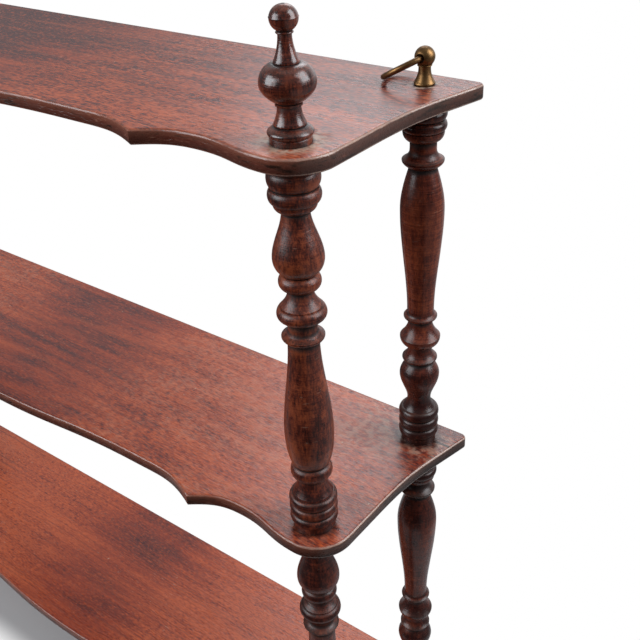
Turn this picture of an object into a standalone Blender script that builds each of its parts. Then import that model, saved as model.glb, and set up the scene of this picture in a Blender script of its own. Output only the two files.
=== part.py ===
"""Hanging wall shelf: three shaped shelves on turned columns, with finials, drops and brass hanging rings."""

import math

import bmesh
import bpy
from mathutils import Matrix

MM = 0.001

# Shelves, all cut to one outline
SHELF_WIDTH = 760 * MM
SHELF_THICKNESS = 10 * MM
UPPER_PITCH = 280 * MM          # top shelf to middle shelf
LOWER_PITCH = 303 * MM          # middle shelf to bottom shelf

# Column axes, from the end and the back edge of a shelf
FRONT_COLUMN_INSET = 42 * MM
FRONT_COLUMN_SETBACK = 143 * MM
BACK_COLUMN_INSET = 32 * MM
BACK_COLUMN_SETBACK = 21.6 * MM

# Shelf outline
BACK_CORNER_RADIUS = 5 * MM
SIDE_INSET = 13.4 * MM          # how far the waisted side lies inside the shelf's end
WAIST_LENGTH = 40 * MM          # straight stretch of the side behind the corner lobe
LOBE_RADIUS = 28 * MM
LOBE_MARGIN = 26 * MM           # wood in front of the front column's axis
RECESS_INSET = 95 * MM          # shelf end to the deepest point of the first recess
RECESS_DEPTH = 7.5 * MM
CUSP_STEP = 41 * MM             # first recess to the cusp, along the front
CUSP_REACH = 7 * MM
HOLLOW_STEP = 69 * MM           # cusp to the deepest point of the second recess
HOLLOW_DEPTH = 4 * MM
BOW_REACH = 5 * MM              # shallow bow in the middle of the front
CUSP_OUTER_ANGLE = math.radians(37)
CUSP_INNER_ANGLE = math.radians(25)
SIDE_LEAN = 0.2                 # lean of the side towards the back corner, as a share of its inset
CURVE_SHARE = 0.45              # handle length of an outline curve, as a share of its span
QUARTER_ARC = 0.5523            # handle length of a quarter circle, as a share of its radius

# Joints
JOINT_GAP = 0.3 * MM            # clearance left at every seat and round every tenon
TENON_RADIUS = 5.5 * MM
TENON_DEPTH = 18 * MM           # how far a tenon goes into the next turned piece

# Turned rings, common to all columns
COLLAR_RADIUS = 12.5 * MM       # plain collar against the shelf above
FOOT_RADIUS = 13.3 * MM
FOOT_HEIGHT = 5 * MM
RING_GROOVE = 1.8 * MM          # depth of the groove between two rings
FOOT_RING_COUNT = 3
BEAD_FLANK = 0.32               # height of each sloping side of a bead, as a share of its height

# Front columns
FRONT_RING_RADIUS = 15.4 * MM
FRONT_NECK_RADIUS = 8.6 * MM
FRONT_FILLET_HEIGHT = 4 * MM
BULB_RISE = 28.5 * MM
BULB_FALL = 10.8 * MM
SMALL_BEAD_RADIUS = 12.9 * MM
SMALL_BEAD_HEIGHT = 10.4 * MM
LARGE_BEAD_RADIUS = 15.4 * MM
LARGE_BEAD_HEIGHT = 14.5 * MM
DISC_NECK_RADIUS = 9.7 * MM
DISC_NECK_HEIGHT = 5.6 * MM
DISC_RADIUS = 13.3 * MM
DISC_HEIGHT = 9 * MM
BELLY_RADIUS = 15.9 * MM
BELLY_FALL = 27 * MM
BELLY_END_RADIUS = 11.2 * MM
ANKLE_BEAD_RADIUS = 14.2 * MM
ANKLE_BEAD_HEIGHT = 10 * MM
ANKLE_RADIUS = 9.7 * MM
ANKLE_FLARE_HEIGHT = 15 * MM
FRONT_FOOT_RING_HEIGHT = 8 * MM

# Back columns
BACK_RING_RADIUS = 15.4 * MM
BACK_RING_HEIGHT = 8.5 * MM
BACK_NECK_RADIUS = 8.7 * MM
BACK_FILLET_HEIGHT = 4 * MM
SAUCER_RADIUS = 13.4 * MM
SAUCER_HEIGHT = 6.5 * MM
SAUCER_GROOVE_HEIGHT = 4.5 * MM
SHOULDER_RADIUS = 15 * MM
SHOULDER_RISE = 31 * MM
TAPER_RADIUS = 9.4 * MM
GARTER_RADIUS = 11.7 * MM
GARTER_HEIGHT = 8 * MM
KNOP_NECK_HEIGHT = 6.5 * MM
KNOP_RADIUS = 14.5 * MM
KNOP_HEIGHT = 16 * MM
BULB_DISC_RADIUS = 12.5 * MM
BULB_DISC_HEIGHT = 8 * MM
BACK_BULB_RADIUS = 14.7 * MM
BACK_BULB_RISE = 10 * MM
BACK_BULB_FALL = 16 * MM
BACK_FLARE_HEIGHT = 11.5 * MM
BACK_FOOT_RING_RADIUS = 14.9 * MM
BACK_FOOT_RING_HEIGHT = 7.5 * MM

# What differs between the upper and the lower columns
UPPER_COLLAR_HEIGHT = 4.5 * MM
UPPER_FRONT_RINGS = (12 * MM, 10.5 * MM)
LOWER_FRONT_RINGS = (10 * MM,)
UPPER_BEAD_FLARE = 9.3 * MM
LOWER_BEAD_FLARE = 4.5 * MM
UPPER_BACK_RING_COUNT = 2
LOWER_BACK_RING_COUNT = 3
UPPER_COVE_HEIGHT = 11 * MM
LOWER_COVE_HEIGHT = 6.5 * MM
UPPER_BACK_NECK = 6 * MM
LOWER_BACK_NECK = 20 * MM

# Finials
FINIAL_BALL_RADIUS = 7.4 * MM
FINIAL_COLLAR_RADIUS = 4.4 * MM
FINIAL_COLLAR_HEIGHT = 2 * MM
FINIAL_NECK_RADIUS = 3.7 * MM
FINIAL_NECK_HEIGHT = 13.5 * MM
FINIAL_RIM_RADIUS = 7 * MM
FINIAL_BULB_RADIUS = 15.4 * MM
FINIAL_BULB_RISE = 10.5 * MM
FINIAL_BULB_FALL = 11.5 * MM
FINIAL_WAIST_RADIUS = 6.5 * MM
FINIAL_WAIST_HEIGHT = 11 * MM
FINIAL_FLANGE_RADIUS = 9.1 * MM
FINIAL_BASE_RADIUS = 13 * MM
FINIAL_BASE_HEIGHT = 7.5 * MM
FINIAL_FOOT_RADIUS = 12 * MM
FINIAL_FOOT_HEIGHT = 3 * MM

# Drops under the bottom shelf
DROP_RING_RADIUS = 15 * MM
DROP_RING_HEIGHT = 9 * MM
DROP_NECK_RADIUS = 8 * MM
DROP_NECK_HEIGHT = 9 * MM
DROP_BULB_RADIUS = 13 * MM
DROP_BULB_RISE = 11 * MM
DROP_BULB_FALL = 13 * MM
DROP_TIP_RADIUS = 4.5 * MM
DROP_TIP_HEIGHT = 7 * MM

# Brass hanger posts, screwed through the top shelf into the back columns
POST_FOOT_RADIUS = 6.9 * MM
POST_FOOT_HEIGHT = 1.2 * MM
POST_WAIST_RADIUS = 3.9 * MM
POST_FLARE_HEIGHT = 9 * MM
POST_NECK_RADIUS = 4.4 * MM
POST_BALL_RADIUS = 6.5 * MM
POST_BALL_HEIGHT = 17 * MM      # seat to the ball's centre
POST_EYE_RADIUS = 2.7 * MM      # hole across the ball
SHANK_RADIUS = 2 * MM
SHANK_DEPTH = 18 * MM           # how far the shank goes into the column

# Hanging rings
RING_MEAN_RADIUS = 16 * MM
RING_WIRE_RADIUS = 1.6 * MM

# Finishes, each a colour, a roughness and a metal share
SHELF_FINISH = ((0.13, 0.040, 0.026), 0.38, 0.0)
COLUMN_FINISH = ((0.075, 0.022, 0.014), 0.34, 0.0)
FINIAL_FINISH = ((0.085, 0.027, 0.016), 0.32, 0.0)
DROP_FINISH = ((0.07, 0.021, 0.014), 0.36, 0.0)
POST_FINISH = ((0.34, 0.20, 0.085), 0.34, 1.0)
RING_FINISH = ((0.27, 0.15, 0.068), 0.42, 1.0)

# Facets
TURN_STEPS = 10
SHORT_CURVE_STEPS = 2
CURVE_STEPS = 3
LONG_CURVE_STEPS = 4
FINIAL_BALL_STEPS = 5
POST_BALL_STEPS = 7
OUTLINE_STEPS = 6
RING_STEPS = 24
WIRE_STEPS = 6
MERGE_DISTANCE = 0.005 * MM
BORE_OVERRUN = 2                # length of a bore's cutter, as a multiple of what it passes through

# Places worked out from the sizes above
HALF_WIDTH = SHELF_WIDTH / 2
SHELF_HEIGHTS = (0.0, -UPPER_PITCH, -UPPER_PITCH - LOWER_PITCH)
LOBE_DEPTH = FRONT_COLUMN_SETBACK + LOBE_MARGIN
FRONT_PLACE = (HALF_WIDTH - FRONT_COLUMN_INSET, -FRONT_COLUMN_SETBACK)
BACK_PLACE = (HALF_WIDTH - BACK_COLUMN_INSET, -BACK_COLUMN_SETBACK)
TENON_HOLE_RADIUS = TENON_RADIUS + JOINT_GAP
SHANK_HOLE_RADIUS = SHANK_RADIUS + JOINT_GAP
SIDES = {"left": -1, "right": 1}


def ogee(t):
    return t * t * (3 - 2 * t)


def opening(t):
    return math.sin(t * math.pi / 2)


def closing(t):
    return 1 - math.cos(t * math.pi / 2)


def flare(t):
    return t * t


class Turning:
    """Outer profile of a turned piece, gathered from the top down as (radius, height) points."""

    def __init__(self):
        self.height = 0.0
        self.points = []

    def step(self, radius, drop=0.0):
        self.height -= drop
        self.points.append((radius, self.height))

    def band(self, radius, drop):
        self.step(radius)
        self.step(radius, drop)

    def sweep(self, start, end, drop, ease, steps):
        top = self.height
        for i in range(steps + 1):
            t = i / steps
            self.height = top - drop * t
            self.step(start + (end - start) * ease(t))

    def bead(self, radius, drop, root_above, root_below):
        self.step(root_above)
        self.step(radius, drop * BEAD_FLANK)
        self.step(radius, drop * (1 - 2 * BEAD_FLANK))
        self.step(root_below, drop * BEAD_FLANK)

    def ball(self, radius, neck_radius, steps):
        """A ball about height zero, from its pole down to where it meets a neck."""
        arc = math.pi / 2 + math.acos(neck_radius / radius)
        for i in range(steps + 1):
            angle = math.pi / 2 - arc * i / steps
            self.height = radius * math.sin(angle)
            self.step(radius * math.cos(angle))

    def profile(self, socket_radius, socket_depth, tenon_radius, tenon_depth):
        """Close the outer side with a socket in the top and a tenon below; zero sizes leave them out."""
        top = self.points[0][1]
        bottom = self.points[-1][1]
        head = [(0.0, top)]
        if socket_depth:
            head = [(0.0, top - socket_depth), (socket_radius, top - socket_depth), (socket_radius, top)]
        tail = [(0.0, bottom)]
        if tenon_depth:
            tail = [(tenon_radius, bottom), (tenon_radius, bottom - tenon_depth), (0.0, bottom - tenon_depth)]
        return without_repeats(head + self.points + tail)


def without_repeats(points):
    kept = [points[0]]
    for point in points[1:]:
        if math.dist(point, kept[-1]) > MERGE_DISTANCE:
            kept.append(point)
    return kept


def new_collection(name):
    collection = bpy.data.collections.new(name)
    bpy.context.scene.collection.children.link(collection)
    return collection


def new_material(name, colour, roughness, metallic):
    material = bpy.data.materials.new(name)
    material.use_nodes = True
    shader = material.node_tree.nodes["Principled BSDF"]
    shader.inputs["Base Color"].default_value = (*colour, 1.0)
    shader.inputs["Roughness"].default_value = roughness
    shader.inputs["Metallic"].default_value = metallic
    material.diffuse_color = (*colour, 1.0)
    return material


def add_object(name, data, collection, material=None):
    obj = bpy.data.objects.new(name, data)
    collection.objects.link(obj)
    if material:
        data.materials.append(material)
    return obj


def add_turned(name, profile, place, collection, material):
    """Turn a profile about its own vertical axis and stand it at a place."""
    mesh = bpy.data.meshes.new(name)
    vertices = [(radius, 0.0, height) for radius, height in profile]
    mesh.from_pydata(vertices, [(i, i + 1) for i in range(len(vertices) - 1)], [])
    obj = add_object(name, mesh, collection, material)
    obj.location = place
    screw = obj.modifiers.new("Turn", "SCREW")
    screw.axis = "Z"
    screw.steps = TURN_STEPS
    screw.render_steps = TURN_STEPS
    screw.use_merge_vertices = True
    screw.merge_threshold = MERGE_DISTANCE
    screw.use_smooth_shade = True
    return obj


def add_cutter(name, bores, collection):
    """One cutter of round bores, each given as centre, radius, length and turn about X."""
    shape = bmesh.new()
    for centre, radius, length, turn in bores:
        made = bmesh.ops.create_cone(
            shape, cap_ends=True, segments=TURN_STEPS, radius1=radius, radius2=radius, depth=length)
        bmesh.ops.rotate(shape, verts=made["verts"], cent=(0, 0, 0), matrix=Matrix.Rotation(turn, 3, "X"))
        bmesh.ops.translate(shape, verts=made["verts"], vec=centre)
    mesh = bpy.data.meshes.new(name)
    shape.to_mesh(mesh)
    shape.free()
    cutter = add_object(name, mesh, collection)
    cutter.hide_render = True
    cutter.display_type = "WIRE"
    return cutter


def cut(obj, cutter):
    boolean = obj.modifiers.new(cutter.name, "BOOLEAN")
    boolean.operation = "DIFFERENCE"
    boolean.solver = "EXACT"
    boolean.object = cutter


def quarter_turn_handle(point, direction, radius):
    return (point[0] + direction[0] * radius * QUARTER_ARC, point[1] + direction[1] * radius * QUARTER_ARC)


def right_half_outline():
    """Outline knots from mid front round to the back corner: point, handle before, handle after."""
    side = HALF_WIDTH - SIDE_INSET
    bow = (0.0, -LOBE_DEPTH - BOW_REACH)
    recess = (HALF_WIDTH - RECESS_INSET, -LOBE_DEPTH + RECESS_DEPTH)
    cusp = (recess[0] - CUSP_STEP, -LOBE_DEPTH - CUSP_REACH)
    hollow = (cusp[0] - HOLLOW_STEP, -LOBE_DEPTH + HOLLOW_DEPTH)
    lobe_front = (side - LOBE_RADIUS, -LOBE_DEPTH)
    lobe_side = (side, -LOBE_DEPTH + LOBE_RADIUS)
    waist = (side, lobe_side[1] + WAIST_LENGTH)
    corner_side = (HALF_WIDTH, -BACK_CORNER_RADIUS)
    corner_back = (HALF_WIDTH - BACK_CORNER_RADIUS, 0.0)

    bow_reach = (hollow[0] - bow[0]) * CURVE_SHARE
    hollow_reach = (cusp[0] - hollow[0]) * CURVE_SHARE
    cusp_reach = (recess[0] - cusp[0]) * CURVE_SHARE
    lobe_reach = (lobe_front[0] - recess[0]) * CURVE_SHARE
    waist_reach = (corner_side[1] - waist[1]) * CURVE_SHARE
    inner = (math.cos(CUSP_INNER_ANGLE) * hollow_reach, math.sin(CUSP_INNER_ANGLE) * hollow_reach)
    outer = (math.cos(CUSP_OUTER_ANGLE) * cusp_reach, math.sin(CUSP_OUTER_ANGLE) * cusp_reach)
    return [
        (bow, (bow[0] - bow_reach, bow[1]), (bow[0] + bow_reach, bow[1])),
        (hollow, (hollow[0] - bow_reach, hollow[1]), (hollow[0] + hollow_reach, hollow[1])),
        (cusp, (cusp[0] - inner[0], cusp[1] + inner[1]), (cusp[0] + outer[0], cusp[1] + outer[1])),
        (recess, (recess[0] - cusp_reach, recess[1]), (recess[0] + lobe_reach, recess[1])),
        (lobe_front, (lobe_front[0] - lobe_reach, lobe_front[1]),
         quarter_turn_handle(lobe_front, (1, 0), LOBE_RADIUS)),
        (lobe_side, quarter_turn_handle(lobe_side, (0, -1), LOBE_RADIUS), lobe_side),
        (waist, waist, (waist[0], waist[1] + waist_reach)),
        (corner_side, (corner_side[0] - SIDE_INSET * SIDE_LEAN, corner_side[1] - waist_reach),
         quarter_turn_handle(corner_side, (0, 1), BACK_CORNER_RADIUS)),
        (corner_back, quarter_turn_handle(corner_back, (1, 0), BACK_CORNER_RADIUS), corner_back),
    ]


def whole_outline():
    right = right_half_outline()
    left = []
    for point, before, after in reversed(right[1:]):
        left.append(tuple((-x, y) for x, y in (point, after, before)))
    return right + left


def shelf_mesh(name):
    """The outline as a filled flat curve, turned into a closed mesh."""
    curve = bpy.data.curves.new(name + "_outline", "CURVE")
    curve.dimensions = "2D"
    curve.fill_mode = "BOTH"
    curve.extrude = SHELF_THICKNESS / 2
    curve.resolution_u = OUTLINE_STEPS
    spline = curve.splines.new("BEZIER")
    spline.use_cyclic_u = True
    knots = whole_outline()
    spline.bezier_points.add(len(knots) - 1)
    for bezier_point, (point, before, after) in zip(spline.bezier_points, knots):
        bezier_point.handle_left_type = "FREE"
        bezier_point.handle_right_type = "FREE"
        bezier_point.co = (*point, 0.0)
        bezier_point.handle_left = (*before, 0.0)
        bezier_point.handle_right = (*after, 0.0)
    outline = bpy.data.objects.new(name + "_outline", curve)
    bpy.context.scene.collection.objects.link(outline)
    evaluated = outline.evaluated_get(bpy.context.evaluated_depsgraph_get())
    mesh = bpy.data.meshes.new_from_object(evaluated)
    bpy.data.objects.remove(outline)
    shape = bmesh.new()
    shape.from_mesh(mesh)
    bmesh.ops.remove_doubles(shape, verts=shape.verts, dist=MERGE_DISTANCE)
    bmesh.ops.recalc_face_normals(shape, faces=shape.faces)
    shape.to_mesh(mesh)
    shape.free()
    mesh.name = name
    return mesh


def add_shelf(name, height, back_hole_radius, parts, cutters, material):
    """A shelf with a hole through it at each column axis."""
    shelf = add_object(name, shelf_mesh(name), parts, material)
    shelf.location.z = height
    bores = []
    for side in SIDES.values():
        for (x, y), radius in ((FRONT_PLACE, TENON_HOLE_RADIUS), (BACK_PLACE, back_hole_radius)):
            bores.append(((side * x, y, height), radius, SHELF_THICKNESS * BORE_OVERRUN, 0.0))
    cut(shelf, add_cutter(name + "_holes", bores, cutters))
    return shelf


def seat_length(pitch):
    """Length of a column between two shelves, with the gap at both seats."""
    return pitch - SHELF_THICKNESS - 2 * JOINT_GAP


def rings(turning, count, radius, height):
    for _ in range(count):
        turning.bead(radius, height, radius - RING_GROOVE, radius - RING_GROOVE)


def front_foot_height():
    rings_height = FOOT_RING_COUNT * FRONT_FOOT_RING_HEIGHT
    return BELLY_FALL + ANKLE_BEAD_HEIGHT + ANKLE_FLARE_HEIGHT + rings_height + FOOT_HEIGHT


def front_column_turning(length, collar_height, ring_heights, bead_flare):
    """Rings, a bulb, beads and a disc above a long vase that takes up the rest of the length."""
    turning = Turning()
    if collar_height:
        turning.band(COLLAR_RADIUS, collar_height)
    for ring_height in ring_heights:
        rings(turning, 1, FRONT_RING_RADIUS, ring_height)
    turning.sweep(COLLAR_RADIUS, FRONT_NECK_RADIUS, FRONT_FILLET_HEIGHT, closing, SHORT_CURVE_STEPS)
    turning.sweep(FRONT_NECK_RADIUS, FRONT_RING_RADIUS, BULB_RISE, ogee, CURVE_STEPS)
    turning.sweep(FRONT_RING_RADIUS, SMALL_BEAD_RADIUS - RING_GROOVE, BULB_FALL, closing, SHORT_CURVE_STEPS)
    turning.bead(SMALL_BEAD_RADIUS, SMALL_BEAD_HEIGHT, SMALL_BEAD_RADIUS - RING_GROOVE, FRONT_NECK_RADIUS)
    flare_end = SMALL_BEAD_RADIUS - RING_GROOVE / 2
    turning.sweep(FRONT_NECK_RADIUS, flare_end, bead_flare, flare, SHORT_CURVE_STEPS)
    turning.bead(LARGE_BEAD_RADIUS, LARGE_BEAD_HEIGHT, SMALL_BEAD_RADIUS, DISC_NECK_RADIUS)
    turning.band(DISC_NECK_RADIUS, DISC_NECK_HEIGHT)
    turning.bead(DISC_RADIUS, DISC_HEIGHT, DISC_NECK_RADIUS, DISC_NECK_RADIUS)
    vase_rise = length + turning.height - front_foot_height()
    turning.sweep(DISC_NECK_RADIUS, BELLY_RADIUS, vase_rise, ogee, LONG_CURVE_STEPS)
    turning.sweep(BELLY_RADIUS, BELLY_END_RADIUS, BELLY_FALL, closing, CURVE_STEPS)
    turning.bead(ANKLE_BEAD_RADIUS, ANKLE_BEAD_HEIGHT, BELLY_END_RADIUS, ANKLE_RADIUS)
    turning.sweep(ANKLE_RADIUS, FRONT_RING_RADIUS - RING_GROOVE, ANKLE_FLARE_HEIGHT, flare, SHORT_CURVE_STEPS)
    rings(turning, FOOT_RING_COUNT, FRONT_RING_RADIUS, FRONT_FOOT_RING_HEIGHT)
    turning.band(FOOT_RADIUS, FOOT_HEIGHT)
    return turning


def back_foot_height(neck_height):
    beads = GARTER_HEIGHT + 2 * KNOP_NECK_HEIGHT + KNOP_HEIGHT + BULB_DISC_HEIGHT
    bulb = BACK_BULB_RISE + BACK_BULB_FALL + neck_height + BACK_FLARE_HEIGHT
    return beads + bulb + FOOT_RING_COUNT * BACK_FOOT_RING_HEIGHT + FOOT_HEIGHT


def back_column_turning(length, ring_count, cove_height, neck_height):
    """Rings and a saucer, a shouldered taper that takes up the rest of the length, beads and a bulb."""
    turning = Turning()
    turning.band(COLLAR_RADIUS, UPPER_COLLAR_HEIGHT)
    rings(turning, ring_count, BACK_RING_RADIUS, BACK_RING_HEIGHT)
    turning.sweep(SAUCER_RADIUS, BACK_NECK_RADIUS, BACK_FILLET_HEIGHT, closing, SHORT_CURVE_STEPS)
    turning.sweep(BACK_NECK_RADIUS, SAUCER_RADIUS - RING_GROOVE, cove_height, flare, SHORT_CURVE_STEPS)
    turning.bead(SAUCER_RADIUS, SAUCER_HEIGHT, SAUCER_RADIUS - RING_GROOVE, TAPER_RADIUS)
    turning.band(TAPER_RADIUS, SAUCER_GROOVE_HEIGHT)
    turning.sweep(TAPER_RADIUS, SHOULDER_RADIUS, SHOULDER_RISE, opening, LONG_CURVE_STEPS)
    taper = length + turning.height - back_foot_height(neck_height)
    turning.sweep(SHOULDER_RADIUS, TAPER_RADIUS, taper, ogee, LONG_CURVE_STEPS)
    turning.bead(GARTER_RADIUS, GARTER_HEIGHT, TAPER_RADIUS, BACK_NECK_RADIUS)
    turning.band(BACK_NECK_RADIUS, KNOP_NECK_HEIGHT)
    turning.bead(KNOP_RADIUS, KNOP_HEIGHT, BACK_NECK_RADIUS, BACK_NECK_RADIUS)
    turning.band(BACK_NECK_RADIUS, KNOP_NECK_HEIGHT)
    turning.bead(BULB_DISC_RADIUS, BULB_DISC_HEIGHT, BACK_NECK_RADIUS, BULB_DISC_RADIUS - RING_GROOVE)
    turning.sweep(BULB_DISC_RADIUS - RING_GROOVE, BACK_BULB_RADIUS, BACK_BULB_RISE, opening, CURVE_STEPS)
    turning.sweep(BACK_BULB_RADIUS, BACK_NECK_RADIUS, BACK_BULB_FALL, ogee, CURVE_STEPS)
    turning.step(BACK_NECK_RADIUS, neck_height)
    flare_end = BACK_FOOT_RING_RADIUS - RING_GROOVE
    turning.sweep(BACK_NECK_RADIUS, flare_end, BACK_FLARE_HEIGHT, flare, SHORT_CURVE_STEPS)
    rings(turning, FOOT_RING_COUNT, BACK_FOOT_RING_RADIUS, BACK_FOOT_RING_HEIGHT)
    turning.band(FOOT_RADIUS, FOOT_HEIGHT)
    return turning


def tenon_length():
    """A tenon passes the gap, the shelf and the next gap before it enters the next piece."""
    return SHELF_THICKNESS + 2 * JOINT_GAP + TENON_DEPTH


def add_columns(parts, material):
    upper_length = seat_length(UPPER_PITCH)
    lower_length = seat_length(LOWER_PITCH)
    tenon = (TENON_RADIUS, tenon_length())
    tenon_socket = (TENON_HOLE_RADIUS, TENON_DEPTH + JOINT_GAP)
    shank_socket = (SHANK_HOLE_RADIUS, SHANK_DEPTH + JOINT_GAP)
    front_upper = front_column_turning(upper_length, UPPER_COLLAR_HEIGHT, UPPER_FRONT_RINGS, UPPER_BEAD_FLARE)
    front_lower = front_column_turning(lower_length, 0.0, LOWER_FRONT_RINGS, LOWER_BEAD_FLARE)
    back_upper = back_column_turning(upper_length, UPPER_BACK_RING_COUNT, UPPER_COVE_HEIGHT, UPPER_BACK_NECK)
    back_lower = back_column_turning(lower_length, LOWER_BACK_RING_COUNT, LOWER_COVE_HEIGHT, LOWER_BACK_NECK)
    kinds = (
        ("front_column_upper", front_upper, tenon_socket, FRONT_PLACE, SHELF_HEIGHTS[0]),
        ("back_column_upper", back_upper, shank_socket, BACK_PLACE, SHELF_HEIGHTS[0]),
        ("front_column_lower", front_lower, tenon_socket, FRONT_PLACE, SHELF_HEIGHTS[1]),
        ("back_column_lower", back_lower, tenon_socket, BACK_PLACE, SHELF_HEIGHTS[1]),
    )
    for kind, turning, socket, (x, y), shelf_height in kinds:
        top = shelf_height - SHELF_THICKNESS / 2 - JOINT_GAP
        profile = turning.profile(*socket, *tenon)
        for side, sign in SIDES.items():
            add_turned(f"{kind}_{side}", profile, (sign * x, y, top), parts, material)


def finial_turning():
    turning = Turning()
    turning.ball(FINIAL_BALL_RADIUS, FINIAL_COLLAR_RADIUS, FINIAL_BALL_STEPS)
    turning.step(FINIAL_COLLAR_RADIUS, FINIAL_COLLAR_HEIGHT)
    turning.sweep(FINIAL_NECK_RADIUS, FINIAL_RIM_RADIUS, FINIAL_NECK_HEIGHT, flare, LONG_CURVE_STEPS)
    turning.sweep(FINIAL_RIM_RADIUS, FINIAL_BULB_RADIUS, FINIAL_BULB_RISE, opening, LONG_CURVE_STEPS)
    turning.sweep(FINIAL_BULB_RADIUS, FINIAL_FLANGE_RADIUS, FINIAL_BULB_FALL, closing, LONG_CURVE_STEPS)
    turning.sweep(FINIAL_WAIST_RADIUS, FINIAL_FLANGE_RADIUS, FINIAL_WAIST_HEIGHT, flare, LONG_CURVE_STEPS)
    turning.bead(FINIAL_BASE_RADIUS, FINIAL_BASE_HEIGHT, FINIAL_FLANGE_RADIUS, FINIAL_FOOT_RADIUS)
    turning.step(FINIAL_FOOT_RADIUS, FINIAL_FOOT_HEIGHT)
    return turning


def add_finials(parts, material):
    turning = finial_turning()
    profile = turning.profile(0.0, 0.0, TENON_RADIUS, tenon_length())
    seat = SHELF_HEIGHTS[0] + SHELF_THICKNESS / 2 + JOINT_GAP
    x, y = FRONT_PLACE
    for side, sign in SIDES.items():
        add_turned(f"finial_{side}", profile, (sign * x, y, seat - turning.height), parts, material)


def drop_turning():
    turning = Turning()
    rings(turning, 1, DROP_RING_RADIUS, DROP_RING_HEIGHT)
    turning.sweep(DROP_RING_RADIUS - RING_GROOVE, DROP_NECK_RADIUS, DROP_NECK_HEIGHT, opening, CURVE_STEPS)
    turning.sweep(DROP_NECK_RADIUS, DROP_BULB_RADIUS, DROP_BULB_RISE, ogee, CURVE_STEPS)
    turning.sweep(DROP_BULB_RADIUS, DROP_TIP_RADIUS, DROP_BULB_FALL, closing, LONG_CURVE_STEPS)
    turning.sweep(DROP_TIP_RADIUS, 0.0, DROP_TIP_HEIGHT, closing, CURVE_STEPS)
    return turning


def add_drops(parts, material):
    socket = (TENON_HOLE_RADIUS, TENON_DEPTH + JOINT_GAP)
    profile = drop_turning().profile(*socket, 0.0, 0.0)
    seat = SHELF_HEIGHTS[-1] - SHELF_THICKNESS / 2 - JOINT_GAP
    for row, (x, y) in (("front", FRONT_PLACE), ("back", BACK_PLACE)):
        for side, sign in SIDES.items():
            add_turned(f"drop_{row}_{side}", profile, (sign * x, y, seat), parts, material)


def post_turning():
    """A ball on a waisted stem; heights are from the ball's centre."""
    turning = Turning()
    turning.ball(POST_BALL_RADIUS, POST_NECK_RADIUS, POST_BALL_STEPS)
    foot_top = POST_FOOT_HEIGHT - POST_BALL_HEIGHT
    turning.step(POST_WAIST_RADIUS, turning.height - foot_top - POST_FLARE_HEIGHT)
    turning.sweep(POST_WAIST_RADIUS, POST_FOOT_RADIUS, POST_FLARE_HEIGHT, flare, LONG_CURVE_STEPS)
    turning.step(POST_FOOT_RADIUS, POST_FOOT_HEIGHT)
    return turning


def ring_offset():
    """Distance of the ring's centre from the eye's axis that keeps the bent wire centred in the eye."""
    eye_half_length = math.sqrt(POST_BALL_RADIUS ** 2 - POST_EYE_RADIUS ** 2)
    bend = RING_MEAN_RADIUS - math.sqrt(RING_MEAN_RADIUS ** 2 - eye_half_length ** 2)
    return RING_MEAN_RADIUS - bend / 2


def ring_tilt():
    """Angle below level at which the ring's far side lies on the shelf."""
    return math.asin((POST_BALL_HEIGHT - RING_WIRE_RADIUS) / (ring_offset() + RING_MEAN_RADIUS))


def add_hangers(parts, cutters, post_material, ring_material):
    """A post with a cross hole over each back column, and a ring that swings in the hole."""
    profile = post_turning().profile(0.0, 0.0, SHANK_RADIUS, SHELF_THICKNESS + 2 * JOINT_GAP + SHANK_DEPTH)
    ball_height = SHELF_HEIGHTS[0] + SHELF_THICKNESS / 2 + JOINT_GAP + POST_BALL_HEIGHT
    x, y = BACK_PLACE
    for side, sign in SIDES.items():
        centre = (sign * x, y, ball_height)
        post = add_turned(f"hanger_post_{side}", profile, centre, parts, post_material)
        bore = (centre, POST_EYE_RADIUS, 2 * POST_BALL_RADIUS * BORE_OVERRUN, math.pi / 2)
        cut(post, add_cutter(f"hanger_eye_{side}", [bore], cutters))

        pivot = bpy.data.objects.new(f"ring_pivot_{side}", None)
        parts.objects.link(pivot)
        pivot.location = centre
        pivot.rotation_euler.y = -sign * ring_tilt()
        bpy.ops.mesh.primitive_torus_add(
            major_radius=RING_MEAN_RADIUS, minor_radius=RING_WIRE_RADIUS,
            major_segments=RING_STEPS, minor_segments=WIRE_STEPS)
        ring = bpy.context.object
        for owner in list(ring.users_collection):
            owner.objects.unlink(ring)
        parts.objects.link(ring)
        ring.name = f"hanging_ring_{side}"
        ring.data.name = ring.name
        ring.data.shade_smooth()
        ring.data.materials.append(ring_material)
        ring.parent = pivot
        ring.location.x = -sign * ring_offset()


def main():
    for obj in list(bpy.data.objects):
        bpy.data.objects.remove(obj)
    parts = new_collection("wall_shelf")
    cutters = new_collection("cutters")
    shelf_wood = new_material("shelf_mahogany", *SHELF_FINISH)
    column_wood = new_material("column_mahogany", *COLUMN_FINISH)
    finial_wood = new_material("finial_mahogany", *FINIAL_FINISH)
    drop_wood = new_material("drop_mahogany", *DROP_FINISH)
    post_brass = new_material("aged_brass", *POST_FINISH)
    ring_brass = new_material("ring_brass", *RING_FINISH)
    back_holes = (SHANK_HOLE_RADIUS, TENON_HOLE_RADIUS, TENON_HOLE_RADIUS)
    for name, height, back_hole in zip(("top", "middle", "bottom"), SHELF_HEIGHTS, back_holes):
        add_shelf(f"{name}_shelf", height, back_hole, parts, cutters, shelf_wood)
    add_columns(parts, column_wood)
    add_finials(parts, finial_wood)
    add_drops(parts, drop_wood)
    add_hangers(parts, cutters, post_brass, ring_brass)


main()
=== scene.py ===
"""Looks of a hanging wall shelf: shaped boards, turned columns, finials and drops, and brass hangers."""

import math
from typing import NamedTuple

import bmesh
import bpy
import numpy as np
from mathutils import Matrix, Vector


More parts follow.
